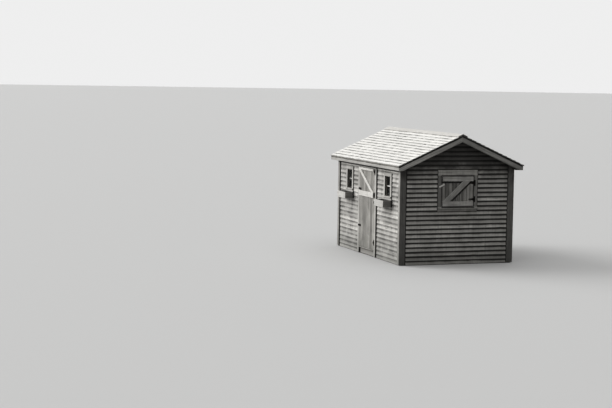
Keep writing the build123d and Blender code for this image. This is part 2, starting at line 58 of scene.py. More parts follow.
LOG = logging.getLogger("boathouse")
GRAIN_UV = "Grain"
TONE = "tone"
RISE = "rise"
ROOF_PITCH = math.radians(24.0)
UP, DOWN = Vector((0, 0, 1)), Vector((0, 0, -1))
VECTOR_SOCKETS = {"Grain", "Place", "Facing", "Low", "High", "Edge", "Away"}
# Near-black colour of painted shade mixed with dirt: under laps, along joints, and under the shutter's ledge
# and brace.
SHADE_AND_DIRT = (0.006, 0.0058, 0.005)
# Near-black colour of the painted shadow beside upright trim.
TRIM_SHADOW = (0.012, 0.0116, 0.0105)
# Near-black colour of the painted shade under the roof's overhang.
ROOF_SHADE_COLOUR = (0.013, 0.0126, 0.0115)
WORN, IRON_EDGE, LEAF_EDGE, SILL_EDGE = 0.0025, 0.0006, 0.003, 0.004
SLIVER, HAIR, WELD = 0.001, 0.0005, 2e-5
SHARP_ANGLE, FLAT_ANGLE, END_GRAIN = 0.5, 0.01, 0.2
GRAIN_SHEET = 40


class Along(Enum):
    """The direction that a board's grain runs in."""

    X = Vector((1, 0, 0))
    Y = Vector((0, 1, 0))
    Z = Vector((0, 0, 1))


class Body(Enum):
    """The moving and fixed groups of the building."""

    BUILDING = "building"
    UPPER_LEAF = "upper_leaf"
    LOWER_LEAF = "lower_leaf"


class Slot(Enum):
    """The record's material slots."""

    FLOOR = "floor_timber"
    WALL = "wall_timber"
    ROOF = "roof_timber"
    SHINGLE = "roof_shingles"
    TRIM = "trim_timber"
    DOOR = "door_boards"
    SHUTTER = "shutter_boards"
    BOX = "planting_box_timber"
    IRON = "black_ironwork"


class NodeKit:
    """Short calls that add and feed shader nodes in one tree."""

    def __init__(self, tree: bpy.types.NodeTree) -> None:
        """Keep the tree that the nodes go into."""
        self.tree = tree

    def feed(self, target: Socket, value: Value) -> None:
        """Wire a socket to another, or set it to a plain value, a colour with full alpha.

        Args:
            target: the socket that is fed.
            value: another socket, or a number, vector or colour.
        """
        if isinstance(value, Socket):
            self.tree.links.new(value, target)
        else:
            target.default_value = (*value, 1.0) if target.type == "RGBA" else value

    def add(self, kind: str, *first: Value, **named: object) -> bpy.types.Node:
        """Add a node, set its properties and feed its sockets.

        Args:
            kind: the end of Blender's type name of the node.
            first: what its first sockets take, in their order.
            named: properties, and what a socket takes where the name has a capital letter.

        Returns:
            The new node.
        """
        node = self.tree.nodes.new(f"ShaderNode{kind}")
        for name, value in named.items():
            if name.islower():
                setattr(node, name, value)
            else:
                self.feed(node.inputs[name], value)
        for socket, value in zip(node.inputs, first):
            self.feed(socket, value)
        return node

    def maths(self, operation: str, first: Value, second: Value = 0.0, clamp: bool = False) -> Socket:
        """Work on one or two numbers, and clamp the result between 0 and 1 where asked."""
        return self.add("Math", first, second, operation=operation, use_clamp=clamp).outputs[0]

    def times(self, first: Value, second: Value, clamp: bool = False) -> Socket:
        """The product of two numbers."""
        return self.maths("MULTIPLY", first, second, clamp)

    def plus(self, first: Value, second: Value, clamp: bool = False) -> Socket:
        """The sum of two numbers."""
        return self.maths("ADD", first, second, clamp)

    def minus(self, first: Value, second: Value) -> Socket:
        """The first number less the second."""
        return self.maths("SUBTRACT", first, second)

    def larger(self, first: Value, second: Value) -> Socket:
        """The larger of two numbers."""
        return self.maths("MAXIMUM", first, second)

    def span(self, value: Value, low: float, high: float, start: float = 0.0, end: float = 1.0) -> Socket:
        """Map a value from one range, low to high, to another, start to end, clamped."""
        return self.add("MapRange", value, low, high, start, end).outputs["Result"]

    def parts(self, vector: Value) -> bpy.types.bpy_prop_collection:
        """The X, Y and Z of a vector."""
        return self.add("SeparateXYZ", vector).outputs

    def vectors(self, operation: str, first: Value, second: Value) -> Socket:
        """Work on two vectors.

        Args:
            operation: the Vector Math node's operation.
            first: a socket or a vector.
            second: a socket or a vector.

        Returns:
            The result's socket, which is a number for a dot product.
        """
        node = self.add("VectorMath", first, second, operation=operation)
        return node.outputs["Value" if operation == "DOT_PRODUCT" else "Vector"]

    def blend(self, share: Value, first: Value, second: Value, mode: str = "MIX") -> Socket:
        """Mix two colours.

        Args:
            share: how much of the second colour.
            first: a colour or a socket.
            second: a colour or a socket.
            mode: the blend mode.

        Returns:
            The mixed colour's socket.
        """
        node = self.add("Mix", share, data_type="RGBA", blend_type=mode)
        # The node's colour sockets come after those for numbers and vectors.
        self.feed(node.inputs[6], first)
        self.feed(node.inputs[7], second)
        return node.outputs[2]

    def noise(self, place: Socket, scale: float | Colour, detail: float = 4.0, bend: float = 0.0) -> Socket:
        """Add a noise texture.

        Args:
            place: the coordinates' socket.
            scale: how fine it is, as one number or one for each axis.
            detail: number of octaves.
            bend: how much the pattern is distorted.

        Returns:
            The noise value's socket.
        """
        if isinstance(scale, tuple):
            place, scale = self.add("Mapping", Vector=place, Scale=scale).outputs["Vector"], 1.0
        node = self.add("TexNoise", Vector=place, Scale=scale, Detail=detail, Distortion=bend)
        return node.outputs["Fac"]


class PatternKit(NodeKit):
    """The nodes of one shared pattern, a node group with named sockets."""

    def __init__(self, name: str, takes: str, makes: str) -> None:
        """Make the empty group.

        Args:
            name: its name.
            takes: the names of its inputs.
            makes: the names of its outputs.
        """
        super().__init__(bpy.data.node_groups.new(name, "ShaderNodeTree"))
        for names, way in ((takes, "INPUT"), (makes, "OUTPUT")):
            for socket in names.split():
                kind = "NodeSocketVector" if socket in VECTOR_SOCKETS else "NodeSocketFloat"
                self.tree.interface.new_socket(name=socket, in_out=way, socket_type=kind)
        self.given = self.tree.nodes.new("NodeGroupInput").outputs
        self.made = self.tree.nodes.new("NodeGroupOutput").inputs

    def outside(self, axis: str) -> Socket:
        """How far a place lies outside the box from Low to High.

        Args:
            axis: the level axis that counts beside the height.

        Returns:
            The distance's socket, below 0 inside the box.
        """
        sides = []
        for first, second in (("Low", "Place"), ("Place", "High")):
            over = self.parts(self.vectors("SUBTRACT", self.given[first], self.given[second]))
            sides.append(self.larger(over[axis], over["Z"]))
        return self.larger(*sides)

    def give(self, **values: Value) -> bpy.types.NodeTree:
        """Wire the group's outputs.

        Args:
            values: what each output gives.

        Returns:
            The finished group.
        """
        for name, value in values.items():
            self.feed(self.made[name], value)
        return self.tree


@dataclass
class Patterns:
    """The surface patterns that several finishes share, each built once."""

    tone_lift: float = 37.0
    fibre: tuple = ((5.0, 150.0, 1.0), 5.0)
    band: tuple = ((1.1, 22.0, 1.0), 3.0, 1.2)
    band_range: Spread = (0.34, 0.66)
    check: tuple = ((2.2, 75.0, 1.0), 2.0)
    check_range: Spread = (0.66, 0.72)
    fibre_height: float = 0.6
    band_height: float = 0.3
    blotch: tuple = (3.1, 4.0, 0.6)
    blotch_range: Spread = (0.38, 0.68)
    rain: tuple = ((26.0, 26.0, 1.3), 4.0)
    rain_range: Spread = (0.42, 0.7)
    splash: tuple = (9.0, 3.0)
    splash_ragged: float = 0.25
    splash_range: Spread = (-0.08, 0.42, 1.0, 0.0)
    turned: Spread = (-0.8, -0.4, 1.0, 0.0)
    level_face: Spread = (0.3, 0.6)
    lap_band: float = 0.006
    lap_blotch: float = 0.008
    lap_range: Spread = (0.0, 0.008)
    butt_range: Spread = (0.002, 0.007, 0.6, 0.0)
    patchy_range: Spread = (0.0, 0.8, 1.0, 0.45)
    soft_range: Spread = (-0.05, 0.0)
    roof_shade_ragged: float = 0.16
    roof_shade_range: Spread = (0.08, 0.36, 1.0, 0.0)
    high_range: Spread = (1.98, 2.3)
    eave_range: Spread = (-0.004, 0.006)
    eave_shade: float = 1.15
    gap_width: float = 0.012
    gap_ragged: float = 0.006
    gap_range: Spread = (-0.003, 0.004, 1.0, 0.0)
    edge_width: float = 0.036
    edge_ragged: float = 0.013
    edge_range: Spread = (-0.003, 0.008, 1.0, 0.0)
    edge_cover: Spread = (-0.05, -0.045)
    lee_ragged: float = 0.008
    lee_range: Spread = (-0.001, 0.008, 1.0, 0.0)
    side_range: Spread = (0.3, 0.75, 1.0, 0.7)

    @cached_property
    def grain_group(self) -> bpy.types.NodeTree:
        """Fibres, growth bands and drying checks that run along a board.

        Returns:
            The node group.
        """
        kit = PatternKit("WoodGrain", "Grain Tone", "Fibre Band Check Height")
        lift = kit.add("CombineXYZ", Z=kit.times(kit.given["Tone"], self.tone_lift))
        place = kit.vectors("ADD", kit.given["Grain"], lift.outputs[0])
        fibre = kit.noise(place, *self.fibre)
        band = kit.span(kit.noise(place, *self.band), *self.band_range)
        check = kit.span(kit.noise(place, *self.check), *self.check_range)
        height = kit.plus(kit.times(fibre, self.fibre_height), kit.times(band, self.band_height))
        return kit.give(Fibre=fibre, Band=band, Check=check, Height=kit.minus(height, check))

    @cached_property
    def weather_group(self) -> bpy.types.NodeTree:
        """Blotches, rain streaks and the splash zone near the ground.

        Returns:
            The node group.
        """
        kit = PatternKit("Weather", "Place", "Blotch Rain Splash")
        place = kit.given["Place"]
        ragged = kit.times(kit.noise(place, *self.splash), self.splash_ragged)
        return kit.give(
            Blotch=kit.span(kit.noise(place, *self.blotch), *self.blotch_range),
            Rain=kit.span(kit.noise(place, *self.rain), *self.rain_range),
            Splash=kit.span(kit.minus(kit.parts(place)["Z"], ragged), *self.splash_range),
        )

    @cached_property
    def lap_shade_group(self) -> bpy.types.NodeTree:
        """Painted shade and dirt under the butt of the board above, and along a board's own butt.

        Returns:
            The node group.
        """
        kit = PatternKit("LapDirt", "Rise Start Band Blotch Facing Tone Washed Uneven Soft", "Dirt")
        given = kit.given
        band, blotch = kit.times(given["Band"], self.lap_band), kit.times(given["Blotch"], self.lap_blotch)
        over = kit.minus(kit.plus(given["Rise"], kit.plus(band, blotch)), given["Start"])
        butt = kit.span(given["Rise"], *self.butt_range)
        soft = kit.times(kit.span(over, *self.soft_range), given["Soft"])
        shade_and_dirt = kit.larger(kit.larger(kit.span(over, *self.lap_range), butt), soft)
        # Painted light: the lines fade in patches on faces turned to -X, the side that the key light falls on.
        sunny = kit.span(kit.parts(given["Facing"])["X"], *self.turned)
        patchy = kit.span(given["Blotch"], *self.patchy_range)
        washed = kit.times(given["Washed"], kit.times(sunny, patchy))
        uneven = kit.times(given["Uneven"], given["Tone"])
        return kit.give(Dirt=kit.times(shade_and_dirt, kit.times(kit.minus(1.0, washed), kit.minus(1.0, uneven))))

    @cached_property
    def roof_shade_group(self) -> bpy.types.NodeTree:
        """Painted shade high on the gables and close under the eaves, where the roof keeps the light off.

        Returns:
            The node group.
        """
        kit = PatternKit("GableMould", "Place Facing Ridge Slope Eave Blotch", "Mould")
        given, place, facing = kit.given, kit.parts(kit.given["Place"]), kit.parts(kit.given["Facing"])
        roof = kit.minus(given["Ridge"], kit.times(kit.maths("ABSOLUTE", place["X"]), given["Slope"]))
        ragged = kit.times(given["Blotch"], self.roof_shade_ragged)
        near = kit.span(kit.minus(kit.minus(roof, place["Z"]), ragged), *self.roof_shade_range)
        reach = kit.larger(near, kit.span(kit.plus(place["Z"], ragged), *self.high_range))
        gable = kit.times(reach, kit.span(kit.maths("ABSOLUTE", facing["Y"]), *self.level_face))
        eave = kit.times(kit.span(kit.minus(place["Z"], given["Eave"]), *self.eave_range), self.eave_shade)
        eave = kit.times(eave, kit.span(kit.maths("ABSOLUTE", facing["X"]), *self.level_face))
        return kit.give(Mould=kit.larger(gable, eave))

    @cached_property
    def gap_shade_group(self) -> bpy.types.NodeTree:
        """Painted shade and dirt along a joint on the near gable's face, on both sides of a box's outline.

        Returns:
            The node group.
        """
        kit = PatternKit("GapDirt", "Place Facing Low High Band", "Dirt")
        width = kit.plus(self.gap_width, kit.times(kit.given["Band"], self.gap_ragged))
        away = kit.maths("ABSOLUTE", kit.outside("X"))
        near = kit.span(kit.minus(away, width), *self.gap_range)
        return kit.give(Dirt=kit.times(near, kit.span(kit.parts(kit.given["Facing"])["Y"], *self.turned)))

    @cached_property
    def edge_shadow_group(self) -> bpy.types.NodeTree:
        """Painted shadow that lies along one edge of a board that is nailed on top.

        Returns:
            The node group.
        """
        kit = PatternKit("EdgeDirt", "Place Edge Away Band", "Dirt")
        over = kit.vectors("SUBTRACT", kit.given["Place"], kit.given["Edge"])
        reach = kit.vectors("DOT_PRODUCT", over, kit.given["Away"])
        width = kit.plus(self.edge_width, kit.times(kit.given["Band"], self.edge_ragged))
        fading = kit.span(kit.minus(reach, width), *self.edge_range)
        return kit.give(Dirt=kit.times(fading, kit.span(reach, *self.edge_cover)))

    @cached_property
    def lee_shadow_group(self) -> bpy.types.NodeTree:
        """Painted shadow in a narrow box of the door wall, on the side of a trim board that the light doesn't
        reach.

        Returns:
            The node group.
        """
        kit = PatternKit("LeeDirt", "Place Facing Low High Band", "Dirt")
        reach = kit.plus(kit.outside("Y"), kit.times(kit.given["Band"], self.lee_ragged))
        near = kit.span(reach, *self.lee_range)
        return kit.give(Dirt=kit.times(near, kit.span(kit.parts(kit.given["Facing"])["X"], *self.turned)))

    @cached_property
    def side_group(self) -> bpy.types.NodeTree:
        """Painted shade: how far a face is turned to -Y, the end that the light never reaches.

        Returns:
            The node group.
        """
        kit = PatternKit("DampSide", "Facing Fibre", "Shade")
        turned = kit.span(kit.parts(kit.given["Facing"])["Y"], *self.turned)
        return kit.give(Shade=kit.times(turned, kit.span(kit.given["Fibre"], *self.side_range)))


class SurfaceKit(NodeKit):
    """The nodes of one new material, with the signals that its patterns read."""

    def __init__(self, name: str) -> None:
        """Make the material, and read each point's place and facing.

        Args:
            name: the material's name.
        """
        self.material = bpy.data.materials.new(name)
        self.material.use_nodes = True
        super().__init__(self.material.node_tree)
        self.shader = self.tree.nodes["Principled BSDF"].inputs
        coordinates = self.add("TexCoord").outputs
        self.signals = {"Place": coordinates["Object"], "Facing": coordinates["Normal"]}

    def attribute(self, name: str) -> Socket:
        """The value that a mesh attribute has at each point."""
        return self.add("Attribute", attribute_name=name).outputs["Fac"]

    def pattern(self, group: bpy.types.NodeTree, **given: Value) -> Socket:
        """Add a shared pattern, and keep what it makes among the signals.

        Args:
            group: the pattern's node group.
            given: what its sockets take; each other one takes the signal of its own name.

        Returns:
            Its first output.
        """
        node = self.add("Group", node_tree=group)
        for socket in node.inputs:
            self.feed(socket, given[socket.name] if socket.name in given else self.signals[socket.name])
        self.signals.update({socket.name: socket for socket in node.outputs})
        return node.outputs[0]

    def wood(self, dark: Colour, pale: Colour, fibre_share: float) -> Socket:
        """The grain's colour, from dark to pale with the fibres and bands.

        Args:
            dark: the colour of the hollows.
            pale: the colour of the fibres.
            fibre_share: how much the fibres count beside the bands.

        Returns:
            The colour's socket.
        """
        fibre = self.times(self.signals["Fibre"], fibre_share)
        band = self.times(self.signals["Band"], 1.0 - fibre_share)
        return self.blend(self.plus(fibre, band, clamp=True), dark, pale)

    def dress(self, colour: Value, roughness: Value, height: Socket, relief: float, bump: float = 1.0,
              **others: float) -> bpy.types.Material:
        """Feed the shader.

        Args:
            colour: the base colour.
            roughness: the roughness.
            height: the surface's height from 0 to 1.
            relief: how deep that height is in metres.
            bump: how strongly it shows.
            others: plain values of other sockets, with _ for each space in a name.

        Returns:
            The finished material.
        """
        node = self.add("Bump", Height=height, Distance=relief, Strength=bump)
        values = {"Base Color": colour, "Roughness": roughness, "Normal": node.outputs[0], **others}
        for name, value in values.items():
            self.feed(self.shader[name.replace("_", " ")], value)
        return self.material


def darker(colour: Colour, share: float) -> Colour:
    """A darker shade of a colour."""
    return tuple(value * share for value in colour)


@dataclass(frozen=True)
class Brace:
    """Where a shutter's brace lies between its two ledges."""

    node: str = "shutter_ledges"
    foot: float = -0.278
    head: float = 0.21
    width: float = 0.118
    ledge: float = 0.118

    def ends(self) -> tuple[Vector, Vector]:
        """Where it meets the two ledges.

        Returns:
            The middle of its lower and of its upper end.
        """
        first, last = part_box(self.node)
        middle = (first.y + last.y) / 2
        foot = Vector((self.foot, middle, first.z + self.ledge))
        return foot, Vector((self.head, middle, last.z - self.ledge))

    def shadow_edges(self) -> tuple[tuple[Vector, Vector], ...]:
        """Where painted shadow lies under the upper ledge and under the brace.

        Returns:
            A point on each edge, and the direction away from the wood above it.
        """
        foot, head = self.ends()
        way = (head - foot).normalized()
        under = Vector((way.z, 0, -way.x))
        return (head, DOWN), (foot + under * self.width / 2, under)


@dataclass(frozen=True)
class WoodFinish:
    """Bare weathered wood, or wood under old paint, with its grain along each board."""

    name: str
    pale: Colour
    dark: Colour
    slot: Slot = Slot.TRIM
    spread: float = 0.22
    blotch: float = 0.35
    rain: float = 0.3
    splash: float = 0.45
    splash_colour: Colour = (0.1, 0.105, 0.09)
    paint: float = 0.0
    paint_colour: Colour = (0.8, 0.79, 0.76)
    paint_fade: float = 0.04
    paint_wear: float = 0.25
    # The fields from here on paint shade into the colour: the side turned to -Y, the roof's shade, shade and
    # dirt under laps and along joints, the shadow beside trim and under the brace, and lap lines painted
    # lighter on the lit side.
    shaded: float = 0.0
    shaded_colour: Colour = (0.05, 0.049, 0.045)
    mould: float = 0.0
    eave_drop: float = 0.052
    lap: float = 0.0
    lap_shade_and_dirt: float = 0.95
    washed: float = 0.0
    uneven: float = 0.0
    soft: float = 0.0
    gap_round: str = ""
    gap_drop: float = 0.0
    gap_between: tuple[str, ...] = ()
    gap_inset: float = 0.008
    lee_of: tuple[str, ...] = ()
    lee_width: float = 0.036
    lee_shadow: float = 0.9
    brace: Brace | None = None
    fibre_share: float = 0.55
    crack_shade: float = 0.3
    shadow_shade: float = 0.55
    roughness: Spread = (0.3, 0.7, 0.72, 0.94)
    specular: float = 0.25
    relief: float = 0.0016
    bump: float = 0.8

    def joints(self) -> list[Box]:
        """The boxes whose outlines get painted shade and dirt along joints on the near gable.

        Returns:
            The low and high corners of each box.
        """
        boxes = []
        if self.gap_round:
            low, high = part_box(self.gap_round)
            boxes.append((Vector((low.x, low.y, low.z - self.gap_drop)), high))
        if self.gap_between:
            left, right = (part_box(node) for node in self.gap_between)
            tall = left[1].z
            low = Vector((left[1].x + self.gap_inset, 0.0, -tall))
            boxes.append((low, Vector((right[0].x - self.gap_inset, 0.0, 2 * tall))))
        return boxes

    def layers(self, kit: SurfaceKit, patterns: Patterns) -> Iterator[tuple[Value, Colour]]:
        """What lies over the wood's own colour, from the bottom up: cracks, paint, stains and splash, then
        painted shade, shadow and dirt.

        Args:
            kit: the material's nodes.
            patterns: the shared node groups.

        Returns:
            How much of each layer shows, and its colour.
        """
        signals, shadow = kit.signals, darker(self.dark, self.shadow_shade)
        yield signals["Check"], darker(self.dark, self.crack_shade)
        if self.paint:
            worn = kit.plus(signals["Fibre"], kit.times(signals["Blotch"], self.paint_wear))
            cover = kit.span(worn, self.paint - self.paint_fade, self.paint, 1.0, 0.0)
            yield kit.times(cover, signals["Tone"]), self.paint_colour
        yield kit.times(signals["Blotch"], self.blotch), shadow
        yield kit.times(signals["Rain"], self.rain), shadow
        yield kit.times(signals["Splash"], self.splash), self.splash_colour
        # Painted shade on faces turned to -Y, away from the light.
        if self.shaded:
            yield kit.times(kit.pattern(patterns.side_group), self.shaded), self.shaded_colour
        # Painted shade high on the gables and under the eaves, where the roof keeps the light off.
        if self.mould:
            ridge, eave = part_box("front_gable_wall")[1].z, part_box("door_side_fascia")[0].z - self.eave_drop
            mould = kit.pattern(patterns.roof_shade_group, Ridge=ridge, Slope=math.tan(ROOF_PITCH), Eave=eave)
            yield kit.times(mould, self.mould, clamp=True), ROOF_SHADE_COLOUR
        # Painted shade and dirt under each lap, faded on the lit side.
        if self.lap:
            shade_and_dirt = kit.pattern(
                patterns.lap_shade_group, Rise=kit.attribute(RISE), Start=self.lap, Washed=self.washed,
                Uneven=self.uneven, Soft=self.soft,
            )
            yield kit.times(shade_and_dirt, self.lap_shade_and_dirt), SHADE_AND_DIRT
        # Painted shade and dirt along the joints.
        for low, high in self.joints():
            yield kit.pattern(patterns.gap_shade_group, Low=low, High=high), SHADE_AND_DIRT
        # Painted shadow beside upright trim on the door wall.
        for low, high in map(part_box, self.lee_of):
            start, end = (0.0, low.y - self.lee_width, low.z), (0.0, low.y + self.lee_width, high.z)
            yield kit.times(kit.pattern(patterns.lee_shadow_group, Low=start, High=end), self.lee_shadow), TRIM_SHADOW
        # Painted shadow under the shutter's upper ledge and brace.
        for point, away in self.brace.shadow_edges() if self.brace else ():
            yield kit.pattern(patterns.edge_shadow_group, Edge=point, Away=away), SHADE_AND_DIRT

    def build(self, patterns: Patterns) -> bpy.types.Material:
        """Make the material.

        Args:
            patterns: the shared node groups.

        Returns:
            The finished material.
        """
        kit = SurfaceKit(self.name)
        kit.signals["Grain"] = kit.add("UVMap", uv_map=GRAIN_UV).outputs["UV"]
        tone = kit.signals["Tone"] = kit.attribute(TONE)
        kit.pattern(patterns.grain_group)
        kit.pattern(patterns.weather_group)
        level = kit.span(tone, 0.0, 1.0, 1.0 - self.spread, 1.0 + self.spread)
        shade = kit.add("CombineXYZ", level, level, level).outputs[0]
        colour = kit.blend(1.0, kit.wood(self.dark, self.pale, self.fibre_share), shade, "MULTIPLY")
        for share, layer in self.layers(kit, patterns):
            colour = kit.blend(share, colour, layer)
        rough = kit.span(kit.signals["Fibre"], *self.roughness)
        height = kit.signals["Height"]
        return kit.dress(colour, rough, height, self.relief, self.bump, Specular_IOR_Level=self.specular)


@dataclass(frozen=True)
class PanelFinish:
    """Rough boarding on the inner faces of the wall panels and on the floor frame."""

    name: str
    pale: Colour
    dark: Colour
    board: float = 0.15
    joint: float = 0.03
    joint_colour: Colour = (0.02, 0.018, 0.015)
    fibre_share: float = 0.6
    roughness: float = 0.88
    relief: float = 0.002

    def build(self, patterns: Patterns) -> bpy.types.Material:
        """Make the material, with a joint line at each board's height.

        Args:
            patterns: the shared node groups.

        Returns:
            The finished material.
        """
        kit = SurfaceKit(self.name)
        place = kit.parts(kit.signals["Place"])
        row = kit.maths("DIVIDE", place["Z"], self.board)
        number = kit.maths("FLOOR", row)
        joint = kit.maths("LESS_THAN", kit.minus(row, number), self.joint)
        line = kit.add("CombineXYZ", kit.plus(place["X"], place["Y"]), place["Z"]).outputs[0]
        kit.pattern(patterns.grain_group, Grain=line, Tone=number)
        colour = kit.blend(joint, kit.wood(self.dark, self.pale, self.fibre_share), self.joint_colour)
        return kit.dress(colour, self.roughness, kit.minus(kit.signals["Height"], joint), self.relief)


@dataclass(frozen=True)
class IronFinish:
    """Black painted ironwork with rust coming through."""

    name: str
    paint: Colour = (0.004, 0.004, 0.0045)
    rust: Colour = (0.05, 0.03, 0.018)
    rust_level: float = 0.62
    rust_edge: Spread = (0.06, 0.05)
    slot: Slot = Slot.IRON
    patches: Spread = (45.0, 6.0, 0.8)
    pits: Spread = (160.0, 3.0)
    roughness: Spread = (0.3, 0.75, 0.7, 0.95)
    metallic: float = 0.2
    specular: float = 0.06
    relief: float = 0.0008

    def build(self, _patterns: Patterns) -> bpy.types.Material:
        """Make the material.

        Args:
            _patterns: the shared node groups, which this finish doesn't need.

        Returns:
            The finished material.
        """
        kit = SurfaceKit(self.name)
        patch = kit.noise(kit.signals["Place"], *self.patches)
        rusty = kit.span(patch, self.rust_level - self.rust_edge[0], self.rust_level + self.rust_edge[1])
        colour, rough = kit.blend(rusty, self.paint, self.rust), kit.span(patch, *self.roughness)
        pits = kit.noise(kit.signals["Place"], *self.pits)
        return kit.dress(
            colour, rough, pits, self.relief, Metallic=self.metallic, Specular_IOR_Level=self.specular
        )


@dataclass(frozen=True)
class GlassFinish:
    """Old drawn glass, faintly wavy and dusty."""

    name: str
    dust: Colour = (0.2, 0.205, 0.195)
    clear: Colour = (0.42, 0.44, 0.43)
    specks: Spread = (14.0, 5.0)
    specks_range: Spread = (0.35, 0.8)
    waves: Spread = (9.0, 1.0)
    roughness: Spread = (0.0, 1.0, 0.03, 0.2)
    transmission: float = 0.96
    refraction: float = 1.14
    relief: float = 0.0006

    def build(self, _patterns: Patterns) -> bpy.types.Material:
        """Make the material.

        Args:
            _patterns: the shared node groups, which this finish doesn't need.

        Returns:
            The finished material.
        """
        kit = SurfaceKit(self.name)
        dusty = kit.span(kit.noise(kit.signals["Place"], *self.specks), *self.specks_range)
        colour, rough = kit.blend(dusty, self.clear, self.dust), kit.span(dusty, *self.roughness)
        waves = kit.noise(kit.signals["Place"], *self.waves)
        return kit.dress(
            colour, rough, waves, self.relief, Transmission_Weight=self.transmission, IOR=self.refraction
        )


class Finish(Enum):
    """Every finish on the building."""

    # Several finishes below paint shade into their colour: faces turned to -Y darker, shade under the roof's
    # overhang, shade and dirt under laps and in joints, shadow beside upright trim and under the shutter's
    # brace, and lap lines painted lighter on the lit door wall.
    CLAPBOARD = WoodFinish(
        "weathered_clapboard", (0.92, 0.9, 0.855), (0.42, 0.406, 0.376), Slot.WALL, spread=0.25, lap=0.059,
        mould=0.85, washed=0.54, soft=0.36, shaded=0.03, shaded_colour=(0.16, 0.157, 0.147),
        gap_round="shutter_casing",
        gap_between=("front_door_side_corner_board", "front_back_side_corner_board"),
        lee_of=("door_side_casings", "rear_door_side_corner_board", "near_window_casing", "far_window_casing"),
    )
    CORNER = WoodFinish(
        "corner_board", (0.66, 0.645, 0.61), (0.2, 0.193, 0.178), blotch=0.5, shaded=0.75, mould=0.5,
        shaded_colour=(0.03, 0.029, 0.027),
    )
    REAR_CORNER = WoodFinish(
        "rear_corner_board", (0.54, 0.525, 0.495), (0.3, 0.29, 0.27), blotch=0.25, shaded=0.97, mould=0.5,
        shaded_colour=(0.01, 0.0098, 0.009),
    )
    TRIM = WoodFinish("weathered_trim", (0.38, 0.37, 0.345), (0.17, 0.163, 0.15), spread=0.5, splash=0.3)
    CASING = WoodFinish(
        "casing_board", (0.72, 0.703, 0.665), (0.37, 0.36, 0.334), spread=0.12, rain=0.2, mould=0.9,
        shaded=0.97, shaded_colour=(0.01, 0.0098, 0.009),
    )
    RAKE = WoodFinish(
        "weathered_rake", (0.66, 0.647, 0.613), (0.05, 0.0486, 0.0446), blotch=0.15, rain=0.1, lap=0.095
    )
    FASCIA = WoodFinish("weathered_fascia", (0.73, 0.713, 0.678), (0.39, 0.378, 0.35), rain=0.2, lap=0.066)
    SHINGLE = WoodFinish(
        "silver_shingle", (0.91, 0.9, 0.87), (0.7, 0.685, 0.65), Slot.SHINGLE, spread=0.07, blotch=0.1,
        rain=0.06, splash=0.0, lap=0.101, lap_shade_and_dirt=1.0, uneven=0.7, shaded=0.97,
        shaded_colour=(0.012, 0.0115, 0.0105),
    )
    RIDGE = WoodFinish(
        "ridge_board", (0.82, 0.805, 0.77), (0.58, 0.565, 0.53), Slot.SHINGLE, splash=0.0, blotch=0.12,
        shaded=0.95, shaded_colour=(0.015, 0.0145, 0.013),
    )
    LEAF = WoodFinish("door_board", (0.52, 0.504, 0.468), (0.13, 0.125, 0.114), Slot.DOOR, spread=0.28)
    LEDGE = WoodFinish(
        "pale_ledge", (0.9, 0.883, 0.843), (0.64, 0.622, 0.58), Slot.DOOR, spread=0.06, rain=0.15, splash=0.0,
        shaded=0.8,
    )
    SHUTTER = WoodFinish(
        "shutter_board", (0.52, 0.508, 0.478), (0.04, 0.0385, 0.035), Slot.SHUTTER, spread=0.62, splash=0.0,
        gap_round="shutter_boards", brace=Brace(),
    )
    BUTTON = WoodFinish(
        "turn_button_wood", (0.88, 0.87, 0.84), (0.72, 0.705, 0.67), Slot.SHUTTER, spread=0.0, blotch=0.0,
        splash=0.0,
    )
    SHUTTER_LEDGE = WoodFinish(
        "shutter_ledge", (0.8, 0.786, 0.753), (0.22, 0.213, 0.198), Slot.SHUTTER, spread=0.12, splash=0.0,
        gap_round="shutter_boards",
    )
    SHUTTER_CASING = WoodFinish(
        "shutter_casing", (0.57, 0.556, 0.525), (0.17, 0.165, 0.153), spread=0.5, splash=0.0,
        gap_round="shutter_boards", gap_drop=0.014,
    )
    # The sash's bare wood is near black as painted shade of the window's recess; the paint stays on the middle
    # bar only.
    SASH = WoodFinish(
        "painted_sash", (0.06, 0.058, 0.053), (0.03, 0.029, 0.026), splash=0.0, blotch=0.12, paint=0.72
    )
    BOX_INSIDE = WoodFinish("damp_box_lining", (0.05, 0.047, 0.04), (0.02, 0.0188, 0.016), Slot.BOX, splash=0.0)
    BOX = WoodFinish(
        "planting_box", (0.78, 0.765, 0.73), (0.52, 0.507, 0.475), Slot.BOX, blotch=0.25, splash=0.0,
        shaded=0.9, shaded_colour=(0.035, 0.034, 0.031),
    )
    ROUGH = WoodFinish("rough_sawn", (0.34, 0.318, 0.28), (0.17, 0.157, 0.135), Slot.ROOF, rain=0.0, splash=0.0)
    DECK = WoodFinish("floor_board", (0.33, 0.312, 0.28), (0.17, 0.159, 0.14), Slot.FLOOR, rain=0.1, splash=0.0)
    BEARER = PanelFinish("bearer_timber", (0.36, 0.35, 0.325), (0.17, 0.164, 0.15), board=0.45)
    PANEL = PanelFinish("inner_boarding", (0.33, 0.312, 0.28), (0.165, 0.154, 0.135))
    IRON = IronFinish("black_iron")
    NAIL = IronFinish("rusty_nail", (0.07, 0.05, 0.04), (0.13, 0.075, 0.045), rust_level=0.45)
    GLASS = GlassFinish("old_glass")


class Paintbox:
    """Builds each finish's material the first time that it is asked for."""

    def __init__(self) -> None:
        """Make the shared patterns."""
        self.patterns = Patterns()
        self.made: dict[Finish, bpy.types.Material] = {}

    def material(self, finish: Finish) -> bpy.types.Material:
        """The material of a finish.

        Args:
            finish: one of the building's finishes.

        Returns:
            Its material, the same one each time.
        """
        if finish not in self.made:
            self.made[finish] = finish.value.build(self.patterns)
        return self.made[finish]


PAINTBOX = Paintbox()


def dress(node: bpy.types.Object, finish: Finish) -> None:
    """Give a node that stays its finish."""
    node.data.materials.clear()
    node.data.materials.append(PAINTBOX.material(finish))


